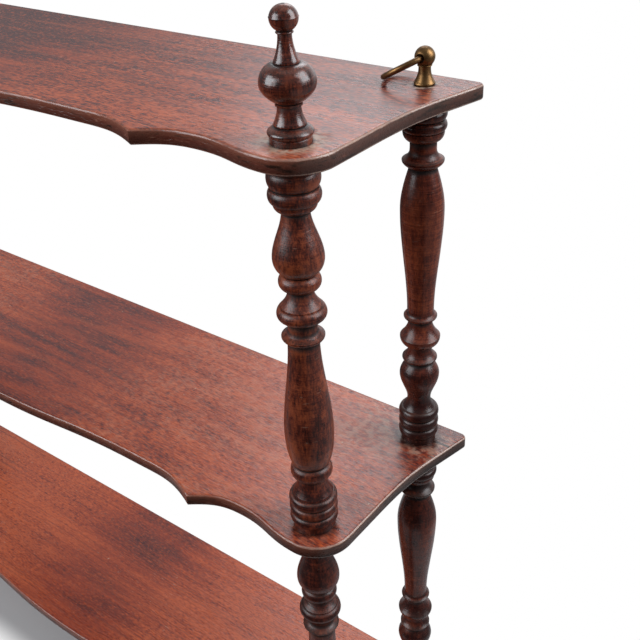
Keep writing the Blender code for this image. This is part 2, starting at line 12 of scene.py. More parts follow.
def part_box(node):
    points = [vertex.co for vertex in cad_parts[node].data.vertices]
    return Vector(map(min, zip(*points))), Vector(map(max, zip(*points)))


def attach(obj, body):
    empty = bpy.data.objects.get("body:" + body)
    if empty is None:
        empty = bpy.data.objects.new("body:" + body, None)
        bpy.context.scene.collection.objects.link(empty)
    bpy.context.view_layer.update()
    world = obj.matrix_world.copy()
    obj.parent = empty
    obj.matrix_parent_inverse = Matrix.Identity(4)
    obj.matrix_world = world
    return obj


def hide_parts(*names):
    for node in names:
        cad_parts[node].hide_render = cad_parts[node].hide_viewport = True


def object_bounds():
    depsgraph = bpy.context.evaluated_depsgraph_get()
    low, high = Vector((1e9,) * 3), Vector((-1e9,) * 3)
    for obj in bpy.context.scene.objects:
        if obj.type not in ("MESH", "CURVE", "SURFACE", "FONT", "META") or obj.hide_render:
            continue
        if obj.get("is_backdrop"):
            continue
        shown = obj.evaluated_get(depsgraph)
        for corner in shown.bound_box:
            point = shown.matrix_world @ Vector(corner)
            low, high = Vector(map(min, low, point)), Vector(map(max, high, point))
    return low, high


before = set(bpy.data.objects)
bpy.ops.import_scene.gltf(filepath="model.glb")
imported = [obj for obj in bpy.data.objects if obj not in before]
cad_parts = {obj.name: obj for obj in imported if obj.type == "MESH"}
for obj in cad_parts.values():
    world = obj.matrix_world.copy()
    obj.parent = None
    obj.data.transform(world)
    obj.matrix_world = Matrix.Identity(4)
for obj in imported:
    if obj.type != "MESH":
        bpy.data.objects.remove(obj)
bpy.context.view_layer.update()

bl_info = {
    "name": "Hanging Wall Shelf",
    "version": (1, 0, 0),
    "blender": (4, 5, 0),
    "location": "View3D > Sidebar > Wall Shelf",
    "description": "Shaped mahogany boards on turned columns, with finials, drops and brass hanging rings",
    "category": "Object",
}

MM = 0.001

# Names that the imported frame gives
SHELF_BODY = "shelf"
RING_BODIES = {"left": "left_ring", "right": "right_ring"}
BOARDS = ("top", "middle", "bottom")
BAYS = {"upper": ("top", "middle"), "lower": ("middle", "bottom")}     # boards above and below the columns
SIDES = {"left": -1, "right": 1}

# Mesh fineness
OUTLINE_STEPS = 16              # points along each curve of a board's outline
ARRIS_STEPS = 4
SWEEP_STEPS = 14                # points along each curve of a turned profile
BEAD_STEPS = 16
WIRE_SIDES = 24
BORE = 0.1 * MM                 # radius of the circle that a profile is carried round
WELD = 0.001 * MM
SHARP_ANGLE = math.radians(40)
QUARTER_ARC = 0.5523            # handle length of a quarter circle, as a share of its radius
CURVE_SHARE = 0.45              # handle length of an outline curve, as a share of its span
SEAT_GAP = 0.05 * MM            # what is left between a turned end and the board it stands on
RELIEF_REACH = 2.6 * MM         # how far along a profile its mean radius is taken
KEEN_REACH = 0.9 * MM           # the same for sharp rims
RELIEF_STEP = 0.1 * MM
RELIEF_WINDOW = 3               # half width of the window for that mean, in reaches
RIDGE_STEP = BEAD_STEPS + 2     # step of a ball's arc on which its fine ridge lies
DENT_SCALE = 75.0               # dents in a metre, about
DENT_DETAIL = 2.0
DENT_SPREAD = 10                # sets the dents of pieces at different heights apart
DENT_STEP = 3                   # sets the dents of a right piece apart from the left one's
BASE_RISE = 0.6                 # share of a finial's base that lies above its widest part

# Where a change along a board begins and where it is complete, from the board's middle
# Painted light: the boards grow lighter towards their ends, where more light falls on them
PAINTED_LIGHTER_END = (0.0, 150 * MM)             # the wood grows paler
PAINTED_LIGHTEST_END = (150 * MM, 320 * MM)       # and paler still
DRIER = (20 * MM, 160 * MM)         # the fine grain stands out more
# A thin film of dust colour, which is a painted sheen
SHEEN_AND_DUST_FILM = (40 * MM, 140 * MM)        # a thin film of dust
DUSTY_END = (220 * MM, 340 * MM)    # a thicker film
SOILED_END = (250 * MM, 360 * MM)   # old dirt in the polish
# Arrises rubbed bare towards the ends, with a painted highlight laid on them there
BARED_AND_HIGHLIT_END = (300 * MM, 350 * MM)    # arrises rubbed bare

# The same across a board, from its back edge, and up its edge, from mid-thickness
SHADED_BACK = (-120 * MM, -40 * MM)
SOILED_BACK = (-120 * MM, -30 * MM)
DUSTY_BACK = (-90 * MM, -20 * MM)
# Painted sheen on the upper part of an edge, and painted shade on its lower part
PAINTED_SHEEN_EDGE = (-0.5 * MM, 4 * MM)
PAINTED_SHADE_EDGE = (2 * MM, -5 * MM)

# The same up a turned piece, from its lower end
FOOT_SHADED = (110 * MM, 20 * MM)
HEAD_SHADED = (235 * MM, 265 * MM)
HEAD_SHADE = 0.12

# Finish of the wood and the brass
SWAY = 22 * MM                  # how far the grain of a board wanders from side to side
SCRATCH = (0.75, 0.82)          # part of a noise that shows as a scratch or a fleck
SPLIT_WAVER = 1.2 * MM          # how far a crack strays from its line
SPLIT_FADE = 2 * MM             # length over which it opens
WOOD_IOR = 1.5
BOARD_BUMP = 0.4 * MM
TURNED_BUMP = 0.5 * MM
BRASS_BUMP = 0.3 * MM
POST_TARNISH = 0.0
RING_TARNISH = 0.18

# Stage
WHITE = (1.0, 1.0, 1.0)
BACKDROP_HEADING = (-0.17, 0.98, 0.0)   # towards the middle of the white backdrop
GLOW_HEADING = (0.80, 0.60, 0.0)        # towards the ground that sends light back
FLOOR_ROUGHNESS = 0.8
SOFTBOX_TARGET = (0.3, -0.1, -0.1)
CLIP_START = 10 * MM


class Foot(NamedTuple):
    """Dirt that has gathered on a board round the foot of a column, finial or post, with a painted contact
    shadow against the foot.
    """

    radius: float
    dust: float                 # width of the dust round it
    # grime_and_shadow: width of the black grime and painted contact shadow against the foot
    grime_and_shadow: float                # width of the black grime against it


class Split(NamedTuple):
    """A crack that runs out at a board's end."""

    start: float                # along the board, from its middle
    across: float               # from the back edge
    half_width: float


class BoardLook(NamedTuple):
    """What sets one board's wood apart from the others'."""

    shift: tuple                # where in the patterns the board is cut
    redness: float              # more is redder and lighter
    figure: float               # strength of the broad figure
    grain: float                # strength of the fine grain
    lines: float                # strength of the long dark lines
    smear: float                # strength of the dark smudges
    shade: float                # darkening of the back
    shade_reach: float          # how far from the board's middle that darkening runs, in metres
    # grubbiness also sets the film of dust colour, part of which is a painted sheen
    grubbiness: float           # dirt at the ends
    front_foot: Foot
    back_foot: Foot
    split: Split = None


class Softbox(NamedTuple):
    """Place and size of a rectangle of light, in metres."""

    place: tuple
    width: float
    height: float


class TurnedLook(NamedTuple):
    """What sets one kind of turned wood apart from the others."""

    wear: float                 # how far the polish has worn off
    depth: float                # more is darker
    dullness: float             # roughness of the polish
    polish: float               # strength of its shine
    foot_shade: float           # darkening towards the lower end


BOARD_LOOKS = {
    "top": BoardLook(
        shift=(0.0, 0.0, 0.0), redness=-0.12, figure=0.85, grain=1.5, lines=0.12, smear=0.10,
        shade=0.34, shade_reach=1.5, grubbiness=0.13,
        front_foot=Foot(radius=12 * MM, dust=14 * MM, grime_and_shadow=2 * MM),
        back_foot=Foot(radius=7 * MM, dust=5 * MM, grime_and_shadow=1 * MM)),
    "middle": BoardLook(
        shift=(5.3, 4.6, 0.4), redness=0.02, figure=0.70, grain=1.0, lines=0.16, smear=0.10,
        shade=0.05, shade_reach=0.10, grubbiness=0.52,
        front_foot=Foot(radius=13 * MM, dust=0.0, grime_and_shadow=7 * MM),
        back_foot=Foot(radius=13 * MM, dust=0.0, grime_and_shadow=9 * MM),
        split=Split(start=362 * MM, across=-21 * MM, half_width=2.2 * MM)),
    "bottom": BoardLook(
        shift=(8.1, 2.9, 0.7), redness=0.12, figure=0.45, grain=1.2, lines=0.35, smear=0.05,
        shade=0.12, shade_reach=0.08, grubbiness=0.1,
        front_foot=Foot(radius=13 * MM, dust=0.0, grime_and_shadow=7 * MM),
        back_foot=Foot(radius=13 * MM, dust=0.0, grime_and_shadow=7 * MM)),
}
TURNED_LOOKS = {
    "front_column_mahogany": TurnedLook(
        wear=0.8, depth=-0.11, dullness=0.32, polish=0.4, foot_shade=0.12),
    # The lower columns are darker copies of the upper ones: painted shade from the boards above
    "lower_front_column_mahogany": TurnedLook(
        wear=0.4, depth=0.06, dullness=0.32, polish=0.35, foot_shade=0.12),
    "back_column_mahogany": TurnedLook(
        wear=0.30, depth=-0.06, dullness=0.26, polish=0.35, foot_shade=0.34),
    # painted shade: darker copy of the upper back column
    "lower_back_column_mahogany": TurnedLook(
        wear=0.30, depth=0.10, dullness=0.26, polish=0.35, foot_shade=0.34),
    "finial_mahogany": TurnedLook(
        wear=0.6, depth=-0.15, dullness=0.20, polish=0.65, foot_shade=0.24),
    "drop_mahogany": TurnedLook(
        wear=0.5, depth=0.0, dullness=0.28, polish=0.5, foot_shade=0.20),
}
SOFTBOXES = {
    "left": Softbox(place=(-0.86, -1.44, 0.62), width=1.1, height=1.2),
    "left_front": Softbox(place=(-0.08, -1.55, 0.67), width=0.5, height=0.8),
    "right": Softbox(place=(1.46, 0.49, 0.80), width=1.0, height=1.4),
    "back": Softbox(place=(-0.28, 0.96, 0.86), width=0.75, height=0.70),
}


def length(name, description, millimetres):
    """A size that a user may change, written in millimetres."""
    return bpy.props.FloatProperty(
        name=name, description=description, default=millimetres * MM, subtype="DISTANCE", unit="LENGTH")


def angle(name, description, degrees):
    return bpy.props.FloatProperty(
        name=name, description=description, default=math.radians(degrees), subtype="ANGLE", unit="ROTATION")


def share(name, description, default):
    return bpy.props.FloatProperty(
        name=name, description=description, default=default, min=0.0, max=1.0, subtype="FACTOR")


def level(name, description, default):
    return bpy.props.FloatProperty(name=name, description=description, default=default, min=0.0)


def tint(name, description, *default):
    return bpy.props.FloatVectorProperty(
        name=name, description=description, default=default, size=3, min=0.0, max=1.0, subtype="COLOR")


def count(name, description, default):
    return bpy.props.IntProperty(name=name, description=description, default=default, min=1)


class BoardSettings(bpy.types.PropertyGroup):
    """Outline and edge of the three boards."""

    lobe_depth: length("Lobe depth", "Back edge to the front of a corner lobe", 169)
    lobe_radius: length("Lobe radius", "Radius of a front corner", 28)
    back_corner_radius: length("Back corner radius", "Radius of a back corner", 5)
    side_inset: length("Side inset", "How far the waisted side lies inside the board's end", 13.4)
    waist_length: length("Waist length", "Straight stretch of the side behind the lobe", 40)
    recess_inset: length("Recess inset", "Board's end to the deepest point of the first recess", 95)
    recess_depth: length("Recess depth", "Depth of the first recess behind the lobe's front", 7.5)
    cusp_step: length("Cusp step", "First recess to the cusp, along the front", 41)
    cusp_reach: length("Cusp reach", "How far the cusp stands before the lobe's front", 7)
    hollow_step: length("Hollow step", "Cusp to the deepest point of the second recess", 69)
    hollow_depth: length("Hollow depth", "Depth of the second recess behind the lobe's front", 4)
    bow_reach: length("Bow reach", "How far the middle of the front stands before the lobes", 5)
    cusp_outer_angle: angle("Cusp outer angle", "Slope of the front on the cusp's outer side", 37)
    cusp_inner_angle: angle("Cusp inner angle", "Slope of the front on the cusp's inner side", 25)
    corner_slant: length("Corner slant", "How far the side leans in before the back corner", 9)
    arris_radius: length("Arris radius", "Rounding that use has left on the edges", 1.8)
    arris_land: length("Arris land", "How far wear reaches from an edge", 0.4)


class ColumnSettings(bpy.types.PropertyGroup):
    """Sizes that the front and back columns share."""

    sides: count("Sides", "Facets round a turned piece", 72)
    unevenness: length("Unevenness", "Depth of the dents left by tools and use", 0.22)
    collar_radius: length("Collar radius", "Plain collar against the board above", 12.5)
    collar_height: length("Collar height", "Height of that collar", 4.5)
    ring_radius: length("Ring radius", "Radius of the turned rings", 15.6)
    groove: length("Groove", "Depth of the groove between two rings", 3.0)
    foot_height: length("Foot height", "Height of the plain foot", 5)
    edge: length("Edge", "Flat edge of a fillet or a lip", 0.6)
    foot_rings: count("Foot rings", "Number of rings above the foot", 3)


class FrontColumnSettings(bpy.types.PropertyGroup):
    """Turned profile of the front columns."""

    fillet_radius: length("Fillet radius", "Rounded fillet under the upper rings", 13.0)
    fillet_fall: length("Fillet fall", "Fillet to the neck", 4.8)
    neck_radius: length("Neck radius", "Narrowest radius above the bulb", 8.4)
    bulb_radius: length("Bulb radius", "Widest radius of the bulb", 15.6)
    bulb_rise: length("Bulb rise", "Neck to the bulb's widest part", 30.0)
    bulb_fall: length("Bulb fall", "The bulb's widest part to the small bead", 10.2)
    small_bead_radius: length("Small bead radius", "Radius of the bead under the bulb", 13.1)
    small_bead_height: length("Small bead height", "Height of that bead", 10.8)
    small_bead_root: length("Small bead root", "Radius of the groove above that bead", 8.4)
    waist_radius: length("Waist radius", "Narrowest radius under the small bead", 7.8)
    rim_radius: length("Rim radius", "Rim of the flare on the large bead", 12.7)
    large_bead_radius: length("Large bead radius", "Radius of the lower bead", 15.6)
    large_bead_height: length("Large bead height", "Height of the lower bead", 9.6)
    disc_neck_radius: length("Disc neck radius", "Short neck above the disc", 9.1)
    disc_neck_height: length("Disc neck height", "Height of that neck", 6.2)
    disc_radius: length("Disc radius", "Sharp-edged disc above the vase", 13.6)
    disc_rise: length("Disc rise", "Neck to the rim of the disc", 5.0)
    disc_fall: length("Disc fall", "Rim of the disc to the vase", 3.5)
    vase_radius: length("Vase radius", "Radius of the vase under the disc", 10.1)
    belly_radius: length("Belly radius", "Widest radius of the vase", 16.4)
    belly_fall: length("Belly fall", "The vase's widest part to the ankle", 27)
    belly_end_radius: length("Belly end radius", "Radius of the vase at the ankle", 10.6)
    ankle_bead_radius: length("Ankle bead radius", "Radius of the bead under the vase", 14.3)
    ankle_bead_height: length("Ankle bead height", "Height of that bead", 11)
    ankle_radius: length("Ankle radius", "Narrowest radius above the foot rings", 9.4)
    ankle_flare_height: length("Ankle flare height", "Height of the flare above the foot rings", 14)
    foot_ring_radius: length("Foot ring radius", "Radius of a foot ring", 16.7)
    foot_ring_height: length("Foot ring height", "Height of a foot ring", 8)
    foot_rim_radius: length("Foot rim radius", "Rim of the flare on the foot rings", 13.9)
    foot_radius: length("Foot radius", "Radius of the plain foot", 14.6)
    upper_first_ring: length("Upper first ring", "Height of the upper column's first ring", 11.5)
    upper_second_ring: length("Upper second ring", "Height of the upper column's second ring", 9.0)
    upper_flare: length("Upper flare", "Flare above the upper column's large bead", 11.0)
    lower_ring: length("Lower ring", "Height of the lower column's only ring", 7.4)
    lower_flare: length("Lower flare", "Flare above the lower column's large bead", 8.0)


class BackColumnSettings(bpy.types.PropertyGroup):
    """Turned profile of the back columns."""

    ring_radius: length("Ring radius", "Radius of an upper ring", 15.2)
    ring_height: length("Ring height", "Height of an upper ring", 7.5)
    fillet_radius: length("Fillet radius", "Rounded fillet under the upper rings", 13.7)
    fillet_fall: length("Fillet fall", "Fillet to the neck", 6.1)
    neck_radius: length("Neck radius", "Narrowest radius above the saucer", 8.9)
    cove_height: length("Cove height", "Neck to the rim of the saucer", 8.0)
    saucer_radius: length("Saucer radius", "Sharp-edged saucer above the shoulder", 14.1)
    saucer_fall: length("Saucer fall", "Rim of the saucer to the groove under it", 4.8)
    groove_height: length("Groove height", "Plain groove under the saucer", 1.6)
    shoulder_root: length("Shoulder root", "Radius of that groove", 9.7)
    shoulder_rise: length("Shoulder rise", "Groove to the shoulder's widest part", 29.1)
    taper_radius: length("Taper radius", "Radius at the foot of the long taper", 9.6)
    garter_radius: length("Garter radius", "Thin lip under the taper", 12.1)
    garter_rise: length("Garter rise", "Taper to the rim of that lip", 4.6)
    garter_fall: length("Garter fall", "Rim of that lip to the neck under it", 3.0)
    waist_radius: length("Waist radius", "Narrowest radius between the lips", 8.5)
    knop_radius: length("Knop radius", "Widest radius of the knop", 14.7)
    knop_rise: length("Knop rise", "Neck to the knop's widest part", 13.6)
    knop_fall: length("Knop fall", "The knop's widest part to the next neck", 7.1)
    disc_radius: length("Disc radius", "Sharp-edged disc above the bulb", 12.9)
    disc_rise: length("Disc rise", "Neck to the rim of the disc", 10.9)
    disc_fall: length("Disc fall", "Rim of the disc to the bulb", 2.5)
    bulb_root: length("Bulb root", "Radius of the groove above the bulb", 9.5)
    bulb_radius: length("Bulb radius", "Widest radius of the bulb", 14.8)
    bulb_rise: length("Bulb rise", "Disc to the bulb's widest part", 11.9)
    bulb_fall: length("Bulb fall", "The bulb's widest part to its neck", 22.0)
    ankle_radius: length("Ankle radius", "Narrowest radius under the bulb", 8.8)
    flare_height: length("Flare height", "Height of the flare above the foot rings", 8.2)
    foot_ring_radius: length("Foot ring radius", "Radius of a foot ring", 15.2)
    foot_radius: length("Foot radius", "Radius of the plain foot", 13.2)
    foot_ring_height: length("Foot ring height", "Height of a foot ring", 8.4)
    upper_rings: count("Upper rings", "Rings at the top of the upper column", 2)
    upper_neck: length("Upper neck", "Plain neck above the upper column's saucer", 4.9)
    upper_shoulder: length("Upper shoulder", "Widest radius of the upper column's taper", 15.1)
    upper_ankle: length("Upper ankle", "Plain neck under the upper column's bulb", 0.4)
    lower_rings: count("Lower rings", "Rings at the top of the lower column", 3)
    lower_neck: length("Lower neck", "Plain neck above the lower column's saucer", 0.5)
    lower_shoulder: length("Lower shoulder", "Widest radius of the lower column's taper", 16.2)
    lower_ankle: length("Lower ankle", "Plain neck under the lower column's bulb", 14)


class FinialSettings(bpy.types.PropertyGroup):
    """Turned profile of the finials."""

    ball_radius: length("Ball radius", "Ball at the top", 7.7)
    ball_squash: share("Ball squash", "Height of the ball as a share of its width", 0.93)
    ball_ridge: length("Ball ridge", "Height of the fine ridge round the ball", 0.25)
    collar_radius: length("Collar radius", "Small collar under the ball", 4.8)
    collar_height: length("Collar height", "Height of that collar", 1.4)
    neck_radius: length("Neck radius", "Narrowest radius of the neck", 3.8)
    neck_height: length("Neck height", "Collar to the rim of the neck's flare", 14.6)
    rim_radius: length("Rim radius", "Rim of the neck's flare", 7)
    bulb_radius: length("Bulb radius", "Widest radius of the bulb", 15.6)
    bulb_rise: length("Bulb rise", "Rim to the bulb's widest part", 10.8)
    bulb_fall: length("Bulb fall", "The bulb's widest part to its fillet", 11.2)
    fillet_radius: length("Fillet radius", "Small ring under the bulb", 7.6)
    waist_radius: length("Waist radius", "Narrowest radius under the bulb", 6.6)
    waist_height: length("Waist height", "Fillet to the flange", 11)
    flange_radius: length("Flange radius", "Rim of the waist's flare", 9.1)
    base_radius: length("Base radius", "Bead on which the waist stands", 13)
    base_height: length("Base height", "Height of that bead", 7.2)
    foot_radius: length("Foot radius", "Plain band on the board", 12)
    foot_height: length("Foot height", "Height of that band", 3)
    groove: length("Groove", "Depth and width of a turned groove", 0.7)


class DropSettings(bpy.types.PropertyGroup):
    """Turned profile of the drops under the bottom board."""

    ring_radius: length("Ring radius", "Ring against the board", 15)
    ring_height: length("Ring height", "Height of that ring", 9)
    neck_radius: length("Neck radius", "Narrowest radius", 8)
    neck_height: length("Neck height", "Ring to the neck", 9)
    bulb_radius: length("Bulb radius", "Widest radius of the bulb", 13)
    bulb_rise: length("Bulb rise", "Neck to the bulb's widest part", 11)
    bulb_fall: length("Bulb fall", "The bulb's widest part to the tip", 13)
    tip_radius: length("Tip radius", "Radius of the tip", 4.5)
    tip_height: length("Tip height", "Height of the tip", 7)
    groove: length("Groove", "Depth of the groove at both ends of the ring", 1.8)


class HangerSettings(bpy.types.PropertyGroup):
    """Brass posts and rings."""

    foot_radius: length("Foot radius", "Rim of the post's foot", 6.9)
    foot_height: length("Foot height", "Height of that rim", 1.2)
    waist_radius: length("Waist radius", "Narrowest radius of the post", 3.9)
    flare_height: length("Flare height", "Height of the flare above the foot", 9)
    neck_radius: length("Neck radius", "Radius where the ball meets the post", 4.4)
    neck_bead: length("Neck bead", "Height of the fine bead at the neck", 0.9)
    ball_radius: length("Ball radius", "Ball that holds the ring", 6.5)
    ball_height: length("Ball height", "Board to the ball's centre", 17.3)
    eye_radius: length("Eye radius", "Hole across the ball", 2.7)
    eye_chamfer: length("Eye chamfer", "Worn edge of that hole", 0.5)
    wire_radius: length("Wire radius", "Radius of the ring's wire", 1.85)
    unevenness: length("Unevenness", "Depth of the dents in the brass", 0.1)


class FinishSettings(bpy.types.PropertyGroup):
    """Colours of the wood and the brass."""

    board_dark: tint("Board dark", "Dark streaks of the boards", 0.060, 0.016, 0.016)
    board_red: tint("Board red", "Body colour of the boards", 0.218, 0.035, 0.016)
    board_light: tint("Board light", "Light streaks of the boards", 0.400, 0.082, 0.028)
    board_rim: tint("Board rim", "Sawn edge of the boards", 0.140, 0.042, 0.026)
    board_side: tint("Board side", "End grain of the boards", 0.062, 0.032, 0.024)
    # board_arris is also laid on as a painted highlight along the arrises and a painted sheen on the edges
    board_arris: tint("Board arris", "Worn edges of the boards", 0.450, 0.310, 0.245)
    turned_dark: tint("Turned dark", "Dark polish on turned wood", 0.022, 0.006, 0.005)
    turned_red: tint("Turned red", "Body colour of turned wood", 0.092, 0.018, 0.010)
    # turned_worn is also laid on the boards' edges as a painted sheen
    turned_worn: tint("Turned worn", "Turned wood where the polish has worn thin", 0.230, 0.052, 0.020)
    # Near black for painted shade in the turned grooves, under the boards' edges and at the feet, and for
    # dirt, pores, soot and cracks
    black_for_shade_and_dirt: tint("Turned groove", "Old dirt in the grooves", 0.006, 0.003, 0.002)
    # dust is also laid thinly on the boards as a painted sheen
    dust: tint("Dust", "Dust and dull wax", 0.430, 0.325, 0.245)
    brass: tint("Brass", "Rubbed brass", 0.206, 0.116, 0.047)
    brass_dark: tint("Brass dark", "Tarnished brass", 0.070, 0.030, 0.012)


class StageSettings(bpy.types.PropertyGroup):
    """Floor, light and camera."""

    floor_colour: tint("Floor colour", "Pale floor", 0.45, 0.45, 0.45)
    floor_side: length("Floor side", "Half width of the floor", 560)
    floor_front: length("Floor front", "How far the floor runs in front of the shelf", 160)
    floor_back: length("Floor back", "How far the floor runs behind the shelf", 250)
    fade_reach: length("Fade reach", "Distance from the shelf at which the floor has faded to white", 40)
    front_level: level("Front level", "Light from the side that the camera stands on", 0.05)
    side_level: level("Side level", "Light from the sides, near the floor", 0.25)
    back_level: level("Back level", "Light from the white backdrop", 1.32)
    high_front_level: level("High front level", "Light from above, towards the camera", 0.24)
    high_back_level: level("High back level", "Light from above, towards the backdrop", 0.74)
    zenith_level: level("Zenith level", "Light from straight above", 0.5)
    glow_level: level("Glow level", "Light that the ground right of the camera sends back", 0.22)
    world_tint: tint("World tint", "Colour of the light from all round", 0.95, 0.97, 1.0)
    softbox_tint: tint("Softbox tint", "Colour of the softboxes", 0.94, 0.96, 1.0)
    left_power: level("Left power", "Power of the left softbox, in watts", 28)
    left_front_power: level("Left front power", "Power of the small softbox by the camera, in watts", 4.5)
    right_power: level("Right power", "Power of the right softbox, in watts", 29)
    back_power: level("Back power", "Power of the softbox above the backdrop, in watts", 5.8)
    camera_lens: bpy.props.FloatProperty(
        name="Camera lens", description="Focal length on a 36 mm frame", default=50.907, unit="CAMERA")
    camera_place: bpy.props.FloatVectorProperty(
        name="Camera place", description="Where the camera stands", default=(0.63823, -0.50345, 0.17870),
        subtype="TRANSLATION", unit="LENGTH")
    camera_turn: bpy.props.FloatVectorProperty(
        name="Camera turn", description="Pitch, roll and heading of the camera",
        default=(math.radians(58.3905), math.radians(2.4669), math.radians(36.9694)),
        subtype="EULER", unit="ROTATION")


class Signal:
    """An output socket of a node; arithmetic on it adds Math nodes."""

    def __init__(self, kit, socket):
        self.kit = kit
        self.socket = socket

    def math(self, operation, first, second):
        return self.kit.add("ShaderNodeMath", {"operation": operation}, {0: first, 1: second})

    def __add__(self, other):
        return self.math("ADD", self, other)

    def __radd__(self, other):
        return self.math("ADD", other, self)

    def __sub__(self, other):
        return self.math("SUBTRACT", self, other)

    def __rsub__(self, other):
        return self.math("SUBTRACT", other, self)

    def __mul__(self, other):
        return self.math("MULTIPLY", self, other)

    def __rmul__(self, other):
        return self.math("MULTIPLY", other, self)

    def __abs__(self):
        return self.math("ABSOLUTE", self, 0.0)

    def most(self, other):
        return self.math("MAXIMUM", self, other)

    @property
    def swing(self):
        """A noise as it swings about 0 instead of a half."""
        return self - 0.5

    def rise(self, start, end):
        """Smooth step from 0 at start to 1 at end; a start above the end falls instead."""
        if start > end:
            return 1 - self.rise(end, start)
        return self.kit.add(
            "ShaderNodeMapRange", {"interpolation_type": "SMOOTHSTEP"},
            {"Value": self, "From Min": start, "From Max": end})


class NodeKit:
    """Adds nodes to one tree."""

    def __init__(self, tree):
        self.tree = tree

    def add(self, kind, settings=None, inputs=None, output=0):
        """A node of one kind: its settings first, then the values or links of its sockets."""
        node = self.tree.nodes.new(kind)
        for name, value in (settings or {}).items():
            if name == "stops":
                self.set_stops(node.color_ramp, value)
            else:
                setattr(node, name, value)
        for key, value in (inputs or {}).items():
            if isinstance(value, Signal):
                self.tree.links.new(value.socket, node.inputs[key])
            else:
                node.inputs[key].default_value = value
        return Signal(self, node.outputs[output]) if len(node.outputs) else node

    def set_stops(self, ramp, stops):
        while len(ramp.elements) < len(stops):
            ramp.elements.new(1.0)
        for element, (position, colour) in zip(ramp.elements, stops):
            element.position = position
            element.color = (*colour, 1.0)

    def place(self):
        return self.add("ShaderNodeTexCoord", output="Object")

    def axes(self, vector):
        parts = self.add("ShaderNodeSeparateXYZ", inputs={0: vector}).socket.node
        return [Signal(self, socket) for socket in parts.outputs]

    def facing(self):
        """The three parts of the surface's normal."""
        return self.axes(self.add("ShaderNodeTexCoord", output="Normal"))

    def distance(self, x, y):
        gap = self.add("ShaderNodeCombineXYZ", inputs={"X": x, "Y": y})
        return self.add("ShaderNodeVectorMath", {"operation": "LENGTH"}, {0: gap}, output="Value")

    def towards(self, vector, heading):
        """How far a vector points along a heading, from -1 to 1."""
        return self.add(
            "ShaderNodeVectorMath", {"operation": "DOT_PRODUCT"}, {0: vector, 1: heading}, output="Value")

    def ray(self, kind):
        return self.add("ShaderNodeLightPath", output=kind)

    def stretched(self, vector, scale, turn=0.0, shift=(0.0, 0.0, 0.0)):
        return self.add(
            "ShaderNodeMapping", {},
            {"Vector": vector, "Scale": scale, "Rotation": (0.0, 0.0, turn), "Location": shift})

    def noise(self, vector, scale, detail=3.0, roughness=0.55):
        return self.add(
            "ShaderNodeTexNoise", {},
            {"Vector": vector, "Scale": scale, "Detail": detail, "Roughness": roughness})

    def drawn_noise(self, vector, scale, detail, roughness=0.55, turn=0.0, shift=(0.0, 0.0, 0.0)):
        """Noise with a scale of its own along each axis."""
        return self.noise(self.stretched(vector, scale, turn, shift), 1.0, detail, roughness)

    def attribute(self, name):
        return self.add("ShaderNodeAttribute", {"attribute_name": name}, output="Fac")

    def mix(self, factor, first, second):
        """Two colours, given as triples or signals, blended."""
        first = first if isinstance(first, Signal) else (*first, 1.0)
        second = second if isinstance(second, Signal) else (*second, 1.0)
        return self.add(
            "ShaderNodeMix", {"data_type": "RGBA"}, {0: factor, 6: first, 7: second}, output=2)

    def layered(self, colour, *layers):
        """A colour with others laid over it in turn, each given as a factor and a colour."""
        for factor, layer in layers:
            colour = self.mix(factor, colour, layer)
        return colour

    def ramp(self, factor, *stops):
        return self.add("ShaderNodeValToRGB", {"stops": stops}, {0: factor})

    def bump(self, height, strength, distance):
        return self.add("ShaderNodeBump", {}, {"Height": height, "Strength": strength, "Distance": distance})


def new_finish(name):
    material = bpy.data.materials.new(name)
    material.use_nodes = True
    kit = NodeKit(material.node_tree)
    return material, kit, material.node_tree.nodes["Principled BSDF"]


def set_shader(kit, shader, **values):
    """Feeds the named sockets of a shader; an underscore stands for a space."""
    for name, value in values.items():
        socket = shader.inputs[name.replace("_", " ")]
        if isinstance(value, Signal):
            kit.tree.links.new(value.socket, socket)
        else:
            socket.default_value = value


class BoardPatterns:
    """Places and noises that the steps of a board's finish share."""

    def __init__(self, kit, shift):
        self.kit = kit
        self.shift = shift
        self.place = kit.place()
        self.x, self.y, self.z = kit.axes(self.place)
        self.along = abs(self.x)
        self.side = abs(kit.facing()[0]).rise(0.3, 0.9)
        wander = self.still((3.0, 9.0, 9.0), 2.0).swing
        sway = kit.add("ShaderNodeCombineXYZ", inputs={"Y": wander * SWAY})
        self.waved = kit.add("ShaderNodeVectorMath", {"operation": "ADD"}, {0: self.place, 1: sway})
        self.streak = self.swayed((4.0, 190.0, 190.0), 4.0, 0.7)
        self.fibre = self.swayed((38.0, 450.0, 450.0), 3.0, 0.7)
        self.dash = self.swayed((110.0, 700.0, 700.0), 1.0)
        self.blotch = self.still((11.0, 30.0, 30.0), 4.0, 0.65)
        self.grit = self.still((200.0, 1150.0, 1150.0), 1.0, 0.5)
        self.mottle = self.still((50.0, 50.0, 260.0), 5.0, 0.75)
        self.speckle = kit.noise(self.place, 170.0, 3.0, 0.7)

    def still(self, scale, detail, roughness=0.55, turn=0.0):
        """Noise that lies straight along the board, or turned on it."""
        return self.kit.drawn_noise(self.place, scale, detail, roughness, turn, self.shift)

    def swayed(self, scale, detail, roughness=0.55):
        """Noise that follows the sway of the grain."""
        return self.kit.drawn_noise(self.waved, scale, detail, roughness, shift=self.shift)


